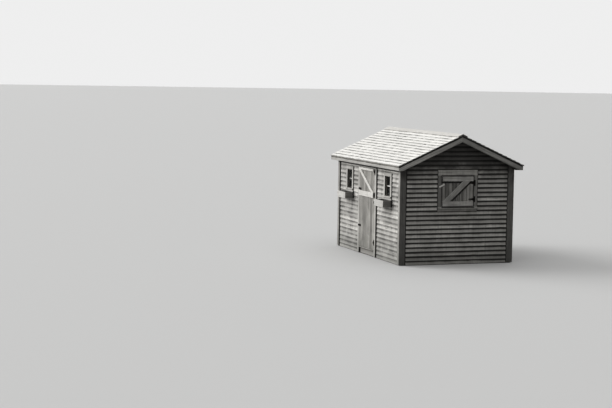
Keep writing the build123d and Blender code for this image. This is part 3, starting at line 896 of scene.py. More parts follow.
def settle(bm: bmesh.types.BMesh, name: str, finish: Finish, body: Body, *nodes: str) -> bpy.types.Object:
    """Turn a finished mesh into an object with its material and body.

    Args:
        bm: the mesh in its place, freed here.
        name: the piece's name.
        finish: its material.
        body: the body that it rides on.
        nodes: the nodes that it stands for.

    Returns:
        The new object.
    """
    mesh = bpy.data.meshes.new(name)
    bm.to_mesh(mesh)
    bm.free()
    piece = bpy.data.objects.new(name, mesh)
    bpy.context.scene.collection.objects.link(piece)
    mesh.materials.append(PAINTBOX.material(finish))
    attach(piece, body.value)
    if nodes:
        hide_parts(*nodes)
    LOG.info("%s: %d faces on %s", name, len(mesh.polygons), body.value)
    return piece


def block(size: Vector, place: Matrix) -> bmesh.types.BMesh:
    """Make a box-shaped block of a size in its place.

    Args:
        size: its three lengths.
        place: where its middle lies and how it is turned.

    Returns:
        The block's mesh.
    """
    piece = bmesh.new()
    bmesh.ops.create_cube(piece, size=1.0)
    bmesh.ops.scale(piece, vec=size, verts=piece.verts[:])
    bmesh.ops.transform(piece, matrix=place, verts=piece.verts[:])
    return piece


def turn_to(*axes: Vector) -> Matrix:
    """The turn that takes X, Y and Z to three directions."""
    return Matrix(axes).transposed().to_4x4()


@dataclass(frozen=True)
class Lay:
    """How a board lies: its grain, the way up its width, where its width starts, and its tone."""

    grain: Vector
    rise: Vector | None = None
    base: float = 0.0
    tone: float | None = None


@dataclass(frozen=True)
class Cut:
    """A plane that cuts a board, and the side that is taken away."""

    point: Vector
    normal: Vector


class BoardStack:
    """Boards collected into one mesh, each with its own grain and tone."""

    def __init__(self, seed: int) -> None:
        """Start an empty stack with its own random draws.

        Args:
            seed: the seed of the draws.
        """
        self.bm = bmesh.new()
        self.bm.loops.layers.uv.new(GRAIN_UV)
        self.bm.loops.layers.float.new(RISE)
        self.bm.faces.layers.float.new(TONE)
        self.random = random.Random(seed)

    def append(self, piece: bmesh.types.BMesh, lay: Lay, cuts: tuple[Cut, ...] = (),
               bevel: float = 0.0) -> None:
        """Cut, bevel and map one closed piece, and join it to the stack.

        Args:
            piece: the board in its place, freed here.
            lay: how it lies.
            cuts: planes that trim it.
            bevel: width of the worn edges, or 0 for none.
        """
        for cut in cuts:
            bmesh.ops.bisect_plane(
                piece, geom=piece.verts[:] + piece.edges[:] + piece.faces[:], dist=1e-6,
                plane_co=cut.point, plane_no=cut.normal, clear_outer=True,
            )
            rim = [edge for edge in piece.edges if edge.is_boundary]
            if rim:
                bmesh.ops.holes_fill(piece, edges=rim, sides=0)
        if not piece.faces:
            piece.free()
            return
        bmesh.ops.recalc_face_normals(piece, faces=piece.faces[:])
        if bevel:
            solid = [edge for edge in piece.edges if edge.is_manifold]
            sharp = [edge for edge in solid if edge.calc_face_angle(0.0) > SHARP_ANGLE]
            bmesh.ops.bevel(
                piece, geom=sharp, offset=bevel, offset_type="OFFSET", affect="EDGES", segments=1,
                profile=0.5, material=-1, clamp_overlap=True,
            )
        self._map(piece, lay)
        mesh = bpy.data.meshes.new("board")
        piece.to_mesh(mesh)
        piece.free()
        self.bm.from_mesh(mesh)
        bpy.data.meshes.remove(mesh)

    def _map(self, piece: bmesh.types.BMesh, lay: Lay) -> None:
        """Give a piece its grain coordinates, its rise and its tone.

        Args:
            piece: the board in its place.
            lay: how it lies.
        """
        uv = piece.loops.layers.uv.new(GRAIN_UV)
        rise = piece.loops.layers.float.new(RISE)
        tone = piece.faces.layers.float.new(TONE)
        start = Vector([self.random.uniform(0, GRAIN_SHEET) for _ in range(2)])
        draw = self.random.random()
        shade = draw if lay.tone is None else lay.tone
        upward = lay.rise or lay.grain.orthogonal()
        for face in piece.faces:
            across = face.normal.cross(lay.grain)
            if across.length < END_GRAIN:
                across = face.normal.orthogonal()
            across.normalize()
            face[tone] = shade
            for loop in face.loops:
                spot = loop.vert.co
                loop[uv].uv = (spot.dot(lay.grain) + start.x, spot.dot(across) + start.y)
                loop[rise] = spot.dot(upward) - lay.base

    def box(self, box: Box, grain: Along, cuts: tuple[Cut, ...] = (), bevel: float = WORN,
            tone: float | None = None, **sides: tuple[float, float]) -> None:
        """Add a board that fills a box, or a part of it.

        Args:
            box: its lowest and highest corner.
            grain: the direction of its length.
            cuts: planes that trim it.
            bevel: width of the worn edges.
            tone: how pale it is from 0 to 1, or None for a random one.
            sides: where it starts and ends along x, y or z instead.
        """
        low, high = (corner.copy() for corner in box)
        for axis, (start, end) in sides.items():
            setattr(low, axis, start)
            setattr(high, axis, end)
        rise = Along.X.value if grain is Along.Z else Along.Z.value
        piece = block(high - low, Matrix.Translation((low + high) / 2))
        self.append(piece, Lay(grain.value, rise, low.dot(rise), tone), cuts, bevel)

    def turned(self, size: Vector, place: Matrix, cuts: tuple[Cut, ...] = (), bevel: float = WORN,
               tone: float | None = None) -> None:
        """Add a board that doesn't lie along the axes.

        Args:
            size: its length, thickness and width.
            place: where its middle lies and how it is turned, with its length along the matrix's X.
            cuts: planes that trim it.
            bevel: width of the worn edges.
            tone: how pale it is from 0 to 1, or None for a random one.
        """
        grain, rise = ((place.to_3x3() @ axis.value).normalized() for axis in (Along.X, Along.Z))
        lay = Lay(grain, rise, place.translation.dot(rise) - size.z / 2, tone)
        self.append(block(size, place), lay, cuts, bevel)

    def planks(self, box: Box, across: Along, count: int, joint: float, grain: Along = Along.Z,
               uneven: float = 0.0, bevel: float = LEAF_EDGE) -> None:
        """Fill a box with boards side by side.

        Args:
            box: its lowest and highest corner.
            across: the direction in which one board follows another.
            count: number of boards.
            joint: width of the gap between two boards.
            grain: the direction of their length.
            uneven: how far a board's outer face may lie back.
            bevel: width of the worn edges.
        """
        axis, depth = ("x", "y") if across is Along.X else ("y", "x")
        low, high = box
        start = getattr(low, axis)
        width = (getattr(high, axis) - start) / count
        for number in range(count):
            edge = start + number * width
            sides = {axis: (edge + joint / 2, edge + width - joint / 2)}
            if uneven:
                sides[depth] = (getattr(low, depth) + self.random.uniform(0.0, uneven), getattr(high, depth))
            self.box(box, grain, bevel=bevel, **sides)

    def brace(self, foot: Vector, head: Vector, width: float, thickness: float) -> None:
        """Add a brace between two levels, cut level at both ends.

        Args:
            foot: the middle of its lower end.
            head: the middle of its upper end.
            width: its width.
            thickness: its thickness.
        """
        way = (head - foot).normalized()
        out = UP.cross(way).normalized()
        spare = width * 3
        size = Vector(((head - foot).length + spare, thickness, width))
        short = Vector((0, 0, HAIR))
        cuts = (Cut(foot + short, DOWN), Cut(head - short, UP))
        self.turned(size, Matrix.Translation((foot + head) / 2) @ turn_to(way, out, way.cross(out)), cuts)

    def finish(self, name: str, finish: Finish, *nodes: str, body: Body = Body.BUILDING) -> bpy.types.Object:
        """Turn the stack into a finished piece that stands for its nodes."""
        return settle(self.bm, name, finish, body, *nodes)


@dataclass
class NailSet:
    """Nail heads of one body, in one mesh."""

    name: str
    seed: int
    body: Body = Body.BUILDING
    radius: float = 0.0032
    taper: float = 0.7
    sides: int = 7
    proud: float = 0.0012
    drift: float = 0.003

    def __post_init__(self) -> None:
        """Start the mesh and the random draws."""
        self.bm = bmesh.new()
        self.random = random.Random(self.seed)

    def drive(self, spot: Vector, outward: Vector) -> None:
        """Add a nail head near a spot.

        Args:
            spot: where it lies on the board's face.
            outward: the face's normal.
        """
        drift = Vector([self.random.uniform(-1, 1) for _ in range(3)]) * self.drift
        drift -= outward * drift.dot(outward)
        turn = outward.to_track_quat("Z", "Y").to_matrix().to_4x4()
        bmesh.ops.create_cone(
            self.bm, cap_ends=True, segments=self.sides, radius1=self.radius, radius2=self.radius * self.taper,
            depth=self.proud, matrix=Matrix.Translation(spot + drift + outward * self.proud / 2) @ turn,
        )

    def finish(self) -> bpy.types.Object:
        """Turn the set into a piece."""
        return settle(self.bm, self.name, Finish.NAIL, self.body)


def worn_copy(node: str, finish: Finish, grain: Vector, bevel: float = IRON_EDGE,
              body: Body = Body.BUILDING) -> bpy.types.Object:
    """A node's own shape with worn edges, in its place.

    Args:
        node: the node's name.
        finish: its material.
        grain: the direction of its grain.
        bevel: width of the worn edges.
        body: the body that it rides on.

    Returns:
        The new object, which stands for the node.
    """
    stack = BoardStack(len(node))
    piece = bmesh.new()
    piece.from_mesh(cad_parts[node].data)
    bmesh.ops.remove_doubles(piece, verts=piece.verts[:], dist=WELD)
    bmesh.ops.dissolve_limit(piece, angle_limit=FLAT_ANGLE, verts=piece.verts[:], edges=piece.edges[:])
    for layer in list(piece.loops.layers.uv):
        piece.loops.layers.uv.remove(layer)
    stack.append(piece, Lay(grain), (), bevel)
    return stack.finish(f"{node}_worn", finish, node, body=body)


@dataclass
class RoofShape:
    """The roof's planes, taken from the frame."""

    pitch: float = ROOF_PITCH
    board: float = 0.019
    apex: float = field(init=False)

    def __post_init__(self) -> None:
        """Read the height of the gable wall's tip."""
        self.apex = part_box("front_gable_wall")[1].z

    def under(self, x: float) -> float:
        """Height of the underside of the roof boards."""
        return self.apex - abs(x) * math.tan(self.pitch)

    def over(self, x: float) -> float:
        """Height of the upper face of the roof boards."""
        return self.under(x) + self.board / math.cos(self.pitch)

    def up_slope(self, side: int) -> Vector:
        """The direction from the eave to the ridge on a side, -1 or 1."""
        return Vector((-side * math.cos(self.pitch), 0, math.sin(self.pitch)))

    def normal(self, side: int) -> Vector:
        """The direction out of a slope."""
        return Vector((side * math.sin(self.pitch), 0, math.cos(self.pitch)))

    def cut(self, side: int, drop: float = 0.001) -> Cut:
        """The plane that trims a board just under a slope."""
        return Cut(Vector((0, 0, self.apex - drop)), self.normal(side))

    def gable_cuts(self) -> tuple[Cut, Cut]:
        """Planes that trim a board under both slopes."""
        return self.cut(-1), self.cut(1)

    def end_cuts(self, side: int, eave: float, ridge: float) -> tuple[Cut, Cut]:
        """Upright planes that end a sloping board at the eave and near the ridge line."""
        out = Vector((side, 0, 0))
        return Cut(Vector((side * eave, 0, 0)), out), Cut(Vector((side * ridge, 0, 0)), Vector((-side, 0, 0)))


@dataclass(frozen=True)
class Opening:
    """What interrupts the clapboards: a stretch along the wall and two heights."""

    start: float
    end: float
    foot: float
    head: float

    def split(self, start: float, end: float) -> list[tuple[float, float]]:
        """What it leaves of a stretch along the wall."""
        parts = (start, min(end, self.start)), (max(start, self.end), end)
        return [(first, last) for first, last in parts if last > first]


@dataclass
class ClapboardWall:
    """Tapered boards lapped up one wall, with random lengths and slight waves."""

    name: str
    origin: Vector
    along: Vector
    outward: Vector
    reach: float
    head: float
    openings: tuple[Opening, ...]
    cuts: tuple[Cut, ...]
    seed: int
    foot: float = 0.012
    second_line: float = 0.1016
    exposure: float = 0.1002
    lap: float = 0.024
    butt_out: float = 0.0195
    butt_in: float = 0.0066
    head_out: float = 0.0045
    tuck: float = 0.0002
    joint: float = 0.0016
    stock: tuple[float, float] = (1.1, 3.4)
    shortest: float = 0.5
    bend_step: float = 0.35
    slide: float = 0.0008
    tilt: float = 0.0012
    bulge: float = 0.0012
    sag: float = 0.0028
    wave_scale: Colour = (1.7, 9.0, 5.1)
    draw_step: int = 31
    full_height: float = 0.8
    nail_step: float = 0.41
    nail_rise: float = 0.026
    nail_inset: float = 0.02
    nail_clear: float = 0.02

    def point(self, a: float, out: float, z: float) -> Vector:
        """A point along the wall, out of it and up."""
        return self.origin + self.along * a + self.outward * out + Vector((0, 0, z))

    def lines(self) -> list[float]:
        """Where the courses lie.

        Returns:
            The heights of the butt lines, from the ground up.
        """
        found = [self.foot]
        while found[-1] < self.head:
            found.append(self.second_line if len(found) == 1 else found[-1] + self.exposure)
        return found[:-1]

    def stretches(self, low: float, high: float) -> list[tuple[float, float, float, float]]:
        """Split a course at the openings.

        Args:
            low: the course's butt line.
            high: its upper edge.

        Returns:
            The start, end, foot and head of each stretch.
        """
        free, found = [(-self.reach, self.reach)], []
        for hole in self.openings:
            if hole.foot < high and low < hole.head:
                free = [part for stretch in free for part in hole.split(*stretch)]
                if low < hole.foot:
                    found.append((hole.start, hole.end, low, hole.foot))
                if hole.head < high:
                    found.append((hole.start, hole.end, hole.head, high))
        return sorted(found + [(start, end, low, high) for start, end in free])

    def lengths(self, start: float, end: float, draw: random.Random) -> Iterator[tuple[float, float]]:
        """Break a stretch into boards of stock lengths.

        Args:
            start: where the stretch starts.
            end: where it ends.
            draw: the wall's random draws.

        Returns:
            The start and end of each board.
        """
        while end - start > SLIVER:
            length = draw.uniform(*self.stock)
            if end - start - length < self.shortest:
                length = end - start
            yield start, start + length
            start += length

    def board(self, stack: BoardStack, a0: float, a1: float, butt: float, foot: float, head: float) -> None:
        """Add one tapered board.

        Args:
            stack: where it goes.
            a0: its start along the wall.
            a1: its end.
            butt: the butt line of its course.
            foot: where it is notched below, or the butt line.
            head: where it is cut above.
        """
        top = butt + self.exposure + self.lap
        piece = bmesh.new()
        bmesh.ops.create_cube(piece, size=1.0)
        long_edges = [e for e in piece.edges if abs(e.verts[0].co.x - e.verts[1].co.x) > 0.5]
        bends = max(1, int((a1 - a0) / self.bend_step))
        bmesh.ops.subdivide_edges(piece, edges=long_edges, cuts=bends, use_grid_fill=True)
        slide = stack.random.uniform(-self.slide, self.slide)
        tilt = stack.random.uniform(-self.tilt, self.tilt)
        scale = self.wave_scale
        for vert in piece.verts:
            share, inner = vert.co.x + 0.5, vert.co.y < 0
            a = a0 + (a1 - a0) * share
            wave = noise.noise(Vector((a * scale[0], butt * scale[1], self.seed * scale[2])))
            if vert.co.z < 0:
                out = self.butt_in if inner else self.butt_out + wave * self.bulge
                z = butt + slide + tilt * (share - 0.5) + wave * self.sag
            else:
                out, z = self.tuck if inner else self.head_out, top
            if butt == self.foot and inner:
                out = self.tuck
            vert.co = self.point(a, out, z)
        cuts = self.cuts
        if foot > butt:
            cuts += (Cut(self.point(0, 0, foot), DOWN),)
        if head < top - HAIR:
            cuts += (Cut(self.point(0, 0, head), UP),)
        stack.append(piece, Lay(self.along, UP, butt), cuts)

    def build(self, nails: NailSet) -> bpy.types.Object:
        """Lap the whole wall and nail it.

        Args:
            nails: the set that takes the nail heads.

        Returns:
            The finished piece.
        """
        stack = BoardStack(self.seed)
        draw = random.Random(self.seed * self.draw_step)
        inset = self.joint / 2
        for butt in self.lines():
            top = min(butt + self.exposure + self.lap, self.head)
            for start, end, foot, head in self.stretches(butt, top):
                for a0, a1 in self.lengths(start, end, draw):
                    self.board(stack, a0 + inset, a1 - inset, butt, foot, head)
                    if foot == butt and head - butt > self.exposure * self.full_height:
                        self.nail(nails, a0, a1, butt)
        return stack.finish(self.name, Finish.CLAPBOARD)

    def nail(self, nails: NailSet, a0: float, a1: float, butt: float) -> None:
        """Nail one board just above its butt line, at each stud and end.

        Args:
            nails: the set that takes the nail heads.
            a0: the board's start along the wall.
            a1: its end.
            butt: its butt line.
        """
        rise = self.nail_rise
        out = self.butt_out - (self.butt_out - self.head_out) * rise / (self.exposure + self.lap)
        count = max(1, round((a1 - a0) / self.nail_step))
        for number in range(count + 1):
            a = a0 + self.nail_inset + (a1 - a0 - 2 * self.nail_inset) * number / count
            spot = self.point(a, out, butt + rise)
            if all((spot - cut.point).dot(cut.normal) < -self.nail_clear for cut in self.cuts):
                nails.drive(spot, self.outward)


@dataclass
class WallCladding:
    """The clapboards of all four walls."""

    roof: RoofShape
    over_door: float = 0.1

    def build(self) -> None:
        """Lap the walls around their openings."""
        nails = NailSet("clapboard_nails", seed=11)
        low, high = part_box("front_gable_wall")
        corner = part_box("front_door_side_corner_board")[1]
        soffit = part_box("door_side_soffit")[0].z
        shutter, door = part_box("shutter_casing"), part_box("door_side_casings")
        hole = Opening(shutter[0].x, shutter[1].x, shutter[0].z, shutter[1].z)
        holes = [Opening(door[0].y, door[1].y, 0.0, soffit + self.over_door)]
        for first, last in (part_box(f"{name}_window_casing") for name in ("near", "far")):
            holes.append(Opening(first.y, last.y, first.z, last.z))
        right, ahead, cuts = Along.X.value, Along.Y.value, self.roof.gable_cuts()
        gable, eave = (-corner.x, self.roof.apex), (-corner.y, soffit)
        for name, origin, along, outward, size, openings, trims, seed in (
            ("front", ahead * low.y, right, -ahead, gable, (hole,), cuts, 3),
            ("rear", ahead * -low.y, right, ahead, gable, (), cuts, 4),
            ("back", right * high.x, ahead, right, eave, (), (), 5),
            ("door_side", right * low.x, ahead, -right, eave, tuple(holes), (), 6),
        ):
            wall = ClapboardWall(f"{name}_clapboards", origin, along, outward, *size, openings, trims, seed)
            wall.build(nails)
        nails.finish()


@dataclass
class CornerBoards:
    """The angles of upright boards at the four corners."""

    roof: RoofShape
    spare: float = 0.1
    seed: int = 40

    def build(self) -> None:
        """Make each corner of a gable leg, notched under the eave, and a side leg."""
        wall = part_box("front_gable_wall")[0]
        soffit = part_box("door_side_soffit")[0].z
        corners = [(end, side) for end in ("front", "rear") for side in ("door_side", "back_side")]
        for number, (end, side) in enumerate(corners):
            name = f"{end}_{side}_corner_board"
            low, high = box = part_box(name)
            stack = BoardStack(self.seed + number)
            left, near = -1 if side == "door_side" else 1, -1 if end == "front" else 1
            outer_x, inner_x = (low.x, high.x)[::-left]
            outer_y, inner_y = (low.y, high.y)[::-near]
            sheath_x, sheath_y = left * abs(wall.x), near * abs(wall.y)
            face, flank = sorted((outer_y, sheath_y)), sorted((sheath_y, inner_y))
            stack.box(box, Along.Z, y=face, z=(low.z, soffit))
            stack.box(
                box, Along.Z, self.roof.gable_cuts(), x=sorted((sheath_x, inner_x)), y=face,
                z=(soffit, high.z + self.spare),
            )
            stack.box(box, Along.Z, x=sorted((outer_x, sheath_x)), y=flank, z=(low.z, soffit))
            stack.finish(f"{name}_pair", Finish.CORNER if end == "front" else Finish.REAR_CORNER, name)


@dataclass
class ShingleSlope:
    """Tapered shingles laid up one slope, course by course."""

    roof: RoofShape
    side: int
    name: str
    courses: int = 14
    eave_x: float = 1.5
    butt: float = 0.024
    step: float = 0.010
    tip: float = 0.003
    starter: tuple[float, float] = (0.0, 0.0125)
    length: float = 0.245
    gap: float = 0.003
    widths: Spread = (0.085, 0.1, 0.115, 0.13, 0.15, 0.17)
    width_spread: Spread = (0.92, 1.08)
    narrowest: float = 0.05
    wave_scale: Colour = (1.3, 7.0, 3.0)
    ridge_gap: float = 0.004
    sag: float = 0.004
    stagger: float = 0.007
    skew: float = 0.002
    cup: float = 0.0008

    def __post_init__(self) -> None:
        """Start the stack, the random draws and the slope's measures."""
        self.stack = BoardStack(seed=70 + self.side)
        self.random = random.Random(170 + self.side)
        self.slope = self.eave_x / math.cos(self.roof.pitch)
        self.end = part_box(f"{self.name}_shingles")[1].y

    def build(self) -> bpy.types.Object:
        """Lay a starter course and then every course over it.

        Returns:
            The finished piece.
        """
        self.course(0.0, self.starter)
        for number in range(self.courses):
            self.course(number * (self.slope / self.courses), (self.butt - self.step, self.butt))
        return self.stack.finish(f"{self.name}_shingle_courses", Finish.SHINGLE, f"{self.name}_shingles")

    def course(self, start: float, heights: tuple[float, float]) -> None:
        """Lay one course from end to end.

        Args:
            start: distance of its butt line from the eave.
            heights: underside and top of the butt over the boards.
        """
        at, scale = -self.end, self.wave_scale
        while at < self.end - SLIVER:
            width = self.random.choice(self.widths) * self.random.uniform(*self.width_spread)
            if self.end - at - width < self.narrowest:
                width = self.end - at
            wave = noise.noise(Vector((at * scale[0], start * scale[1], self.side * scale[2])))
            butt = start + (self.sag * wave + self.sag) + self.random.uniform(0.0, self.stagger)
            self.shingle((at + self.gap / 2, at + width - self.gap / 2), butt, heights)
            at += width

    def shingle(self, span: tuple[float, float], butt: float, heights: tuple[float, float]) -> None:
        """Add one tapered shingle.

        Args:
            span: its two edges along the roof.
            butt: distance of its lower end from the eave.
            heights: underside and top of the butt over the boards.
        """
        head = min(butt + self.length, self.slope - self.ridge_gap)
        share = (head - butt) / self.length
        under, over = heights
        top_over, top_under = over + (self.tip - over) * share, under * (1 - share)
        skew = self.random.uniform(-self.skew, self.skew)
        cup = self.random.uniform(-self.cup, 0.0)
        up, out = self.roof.up_slope(self.side), self.roof.normal(self.side)
        start = Vector((self.side * self.eave_x, 0, self.roof.over(self.eave_x)))
        piece = bmesh.new()
        bmesh.ops.create_cube(piece, size=1.0)
        for vert in piece.verts:
            lower, left = vert.co.x < 0, vert.co.y < 0
            y = span[0] if left else span[1]
            distance = butt + (skew if left else -skew) if lower else head
            if vert.co.z > 0:
                height = over + cup if lower else top_over
            else:
                height = under if lower else top_under
            vert.co = start + up * max(distance, 0.0) + out * height + Vector((0, y, 0))
        self.stack.append(piece, Lay(up, up, start.dot(up) + butt))


@dataclass
class RoofCovering:
    """Roof boards, shingles, ridge boards and the trim along eaves and rakes."""

    roof: RoofShape
    board_width: float = 0.142
    joint: float = 0.002
    board_slack: float = 0.0004
    board_bevel: float = 0.001
    board_gap: float = 0.0002
    rake_gap: float = 0.0008
    edge: float = 0.002
    fascia_joint: float = 0.37
    spare: float = 0.05
    rake_width: float = 0.125
    # The second tone, for the back-side rake board, is painted shade.
    rake_shade_tones: tuple[float, float] = (0.9, 0.05)

    def build(self) -> None:
        """Cover both slopes and trim their edges."""
        slopes = ((-1, "door_side"), (1, "back_side"))
        for side, name in slopes:
            self.boards(side, name)
            ShingleSlope(self.roof, side, name).build()
            self.eave(side, name)
        self.rakes("front", seed=90)
        self.rakes("rear", seed=91)
        for side, name in slopes:
            worn_copy(f"{name}_rafters", Finish.ROUGH, self.roof.up_slope(side), self.edge)
        worn_copy("ridge_beam", Finish.ROUGH, Along.Y.value, self.edge)
        worn_copy("ridge_cap", Finish.RIDGE, Along.Y.value, self.edge)

    def boards(self, side: int, name: str) -> None:
        """Lay the boarding under the shingles of one slope.

        Args:
            side: -1 for the door side, 1 for the back.
            name: the slope's name.
        """
        low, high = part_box(f"{name}_roof_boards")
        eave = abs(low.x if side < 0 else high.x)
        length = eave / math.cos(self.roof.pitch)
        count = round(length / self.board_width)
        width = length / count
        up, out = self.roof.up_slope(side), self.roof.normal(side)
        turn = turn_to(Along.Y.value, out, up)
        start = Vector((side * eave, 0, self.roof.under(eave)))
        size = Vector((high.y - low.y, self.roof.board - self.board_slack, width - self.joint))
        cuts = self.roof.end_cuts(side, eave, self.board_gap)
        stack = BoardStack(seed=60 + side)
        for number in range(count + 1):
            middle = start + up * (number + 0.5) * width + out * self.roof.board / 2
            stack.turned(size, Matrix.Translation(middle) @ turn, cuts, self.board_bevel)
        stack.finish(f"{name}_roof_boarding", Finish.ROUGH, f"{name}_roof_boards")

    def eave(self, side: int, name: str) -> None:
        """Add the fascia and soffit of one eave.

        Args:
            side: -1 for the door side, 1 for the back.
            name: the slope's name.
        """
        low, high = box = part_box(f"{name}_fascia")
        cuts = (self.roof.cut(side, HAIR),)
        stack = BoardStack(seed=80 + side)
        for ends in ((low.y, self.fascia_joint), (self.fascia_joint + self.joint, high.y)):
            stack.box(box, Along.Y, cuts, y=ends, z=(low.z, high.z + self.spare))
        stack.finish(f"{name}_fascia_boards", Finish.FASCIA, f"{name}_fascia")
        stack = BoardStack(seed=84 + side)
        stack.box(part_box(f"{name}_soffit"), Along.Y)
        stack.finish(f"{name}_soffit_board", Finish.TRIM, f"{name}_soffit")

    def rakes(self, end: str, seed: int) -> None:
        """Add the two sloping boards of one roof end.

        Args:
            end: front or rear.
            seed: the seed of its random draws.
        """
        low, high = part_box(f"{end}_rake_boards")
        run = abs(low.x)
        length = run / math.cos(self.roof.pitch) + self.rake_width * 2
        size = Vector((length, high.y - low.y, self.rake_width))
        stack = BoardStack(seed)
        # The back-side board's low tone is painted shade.
        for side, tone in zip((-1, 1), self.rake_shade_tones):
            up, out = self.roof.up_slope(side), self.roof.normal(side)
            middle = side * run / 2
            top = Vector((middle, (low.y + high.y) / 2, self.roof.over(middle)))
            place = Matrix.Translation(top - out * self.rake_width / 2) @ turn_to(up, Along.Y.value, out)
            cuts = (*self.roof.end_cuts(side, run, self.rake_gap), Cut(Vector((0, 0, low.z)), DOWN))
            stack.turned(size, place, cuts, self.edge, tone)
        stack.finish(f"{end}_rake_pair", Finish.RAKE, f"{end}_rake_boards")


@dataclass
class LedgedBoards:
    """Upright boards held by two ledges, with or without a brace, and the nails through them."""

    name: str
    body: Body
    along: Along
    count: int
    joint: float
    uneven: float
    finishes: tuple[Finish, Finish]
    seeds: tuple[int, int, int]
    ledges: tuple[float, float]
    nail_shift: float = 0.0
    nail_rises: tuple[float, float] = (0.25, 0.75)
    brace: Box | None = None
    brace_width: float = 0.0
    brace_nails: Spread = ()

    def build(self) -> None:
        """Make the boards, then the ledges and the brace with their nails."""
        run, out = (0, 1) if self.along is Along.X else (1, 0)
        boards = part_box(f"{self.name}_boards")
        low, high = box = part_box(f"{self.name}_ledges")
        stack = BoardStack(self.seeds[0])
        stack.planks(boards, self.along, self.count, self.joint, uneven=self.uneven)
        stack.finish(f"{self.name}_plank_set", self.finishes[0], f"{self.name}_boards", body=self.body)
        stack, nails = BoardStack(self.seeds[1]), NailSet(f"{self.name}_nails", self.seeds[2], self.body)
        outward = Vector((0, 0, 0))
        outward[out] = -1.0
        face = min(low[out], boards[0][out])
        for level, height in ((low.z, self.ledges[0]), (high.z - self.ledges[1], self.ledges[1])):
            stack.box(box, self.along, z=(level, level + height))
            for number in range(self.count):
                at = low[run] + (number + 0.5) * (high[run] - low[run]) / self.count
                for rise, shift in zip(self.nail_rises, (-self.nail_shift, self.nail_shift)):
                    spot = Vector((face, face, level + height * rise))
                    spot[run] = at + shift
                    nails.drive(spot, outward)
        if self.brace:
            foot, head = self.brace
            stack.brace(foot, head, self.brace_width, high[out] - low[out])
            for share in self.brace_nails:
                spot = foot.lerp(head, share)
                spot[out] = low[out]
                nails.drive(spot, outward)
        stack.finish(f"{self.name}_ledge_set", self.finishes[1], f"{self.name}_ledges", body=self.body)
        nails.finish()


@dataclass
class StableDoor:
    """The two leaves of the door, with their hinges and bolts."""

    board_count: int = 8
    joint: float = 0.005
    uneven: float = 0.0012
    ledge: float = 0.118
    head_ledge: float = 0.052
    nail_shift: float = 0.018
    brace_width: float = 0.08
    brace_inset: float = 0.05
    brace_nails: Spread = (0.12, 0.31, 0.5, 0.69, 0.88)

    def build(self) -> None:
        """Make the upper leaf with its ledges outside, and the lower one with its ledges inside."""
        low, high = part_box("upper_leaf_ledges")
        middle = (low.x + high.x) / 2
        foot = Vector((middle, low.y + self.brace_inset, low.z + self.ledge))
        head = Vector((middle, high.y - self.brace_inset, high.z - self.head_ledge))
        sizes = (Along.Y, self.board_count, self.joint, self.uneven)
        upper = LedgedBoards(
            "upper_leaf", Body.UPPER_LEAF, *sizes, (Finish.LEAF, Finish.LEDGE), (100, 105, 12),
            (self.ledge, self.head_ledge), self.nail_shift,
            brace=(foot, head), brace_width=self.brace_width, brace_nails=self.brace_nails,
        )
        lower = LedgedBoards(
            "lower_leaf", Body.LOWER_LEAF, *sizes, (Finish.LEAF, Finish.LEAF), (101, 106, 12),
            (self.ledge, self.ledge), self.nail_shift,
        )
        for leaf in (upper, lower):
            leaf.build()
            for part in ("hinges", "bolt"):
                worn_copy(f"{leaf.name}_{part}", Finish.IRON, Along.Y.value, body=leaf.body)


@dataclass
class DoorSurround:
    """Casings, sill and the fixed halves of the hinges."""

    seed: int = 110

    def build(self) -> None:
        """Make the boards round the doorway."""
        low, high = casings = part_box("door_side_casings")
        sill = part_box("door_sill")
        stack = BoardStack(self.seed)
        stack.box(casings, Along.Z, y=(low.y, sill[0].y))
        stack.box(casings, Along.Z, y=(sill[1].y, high.y))
        stack.box(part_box("door_head_casing"), Along.Y)
        stack.finish("door_casing_boards", Finish.CASING, "door_side_casings", "door_head_casing")
        stack = BoardStack(self.seed + 1)
        stack.box(sill, Along.Y, bevel=SILL_EDGE)
        stack.finish("door_sill_board", Finish.TRIM, "door_sill")
        for part in ("door_jamb_hinges", "door_bolt_keepers"):
            worn_copy(part, Finish.IRON, UP)


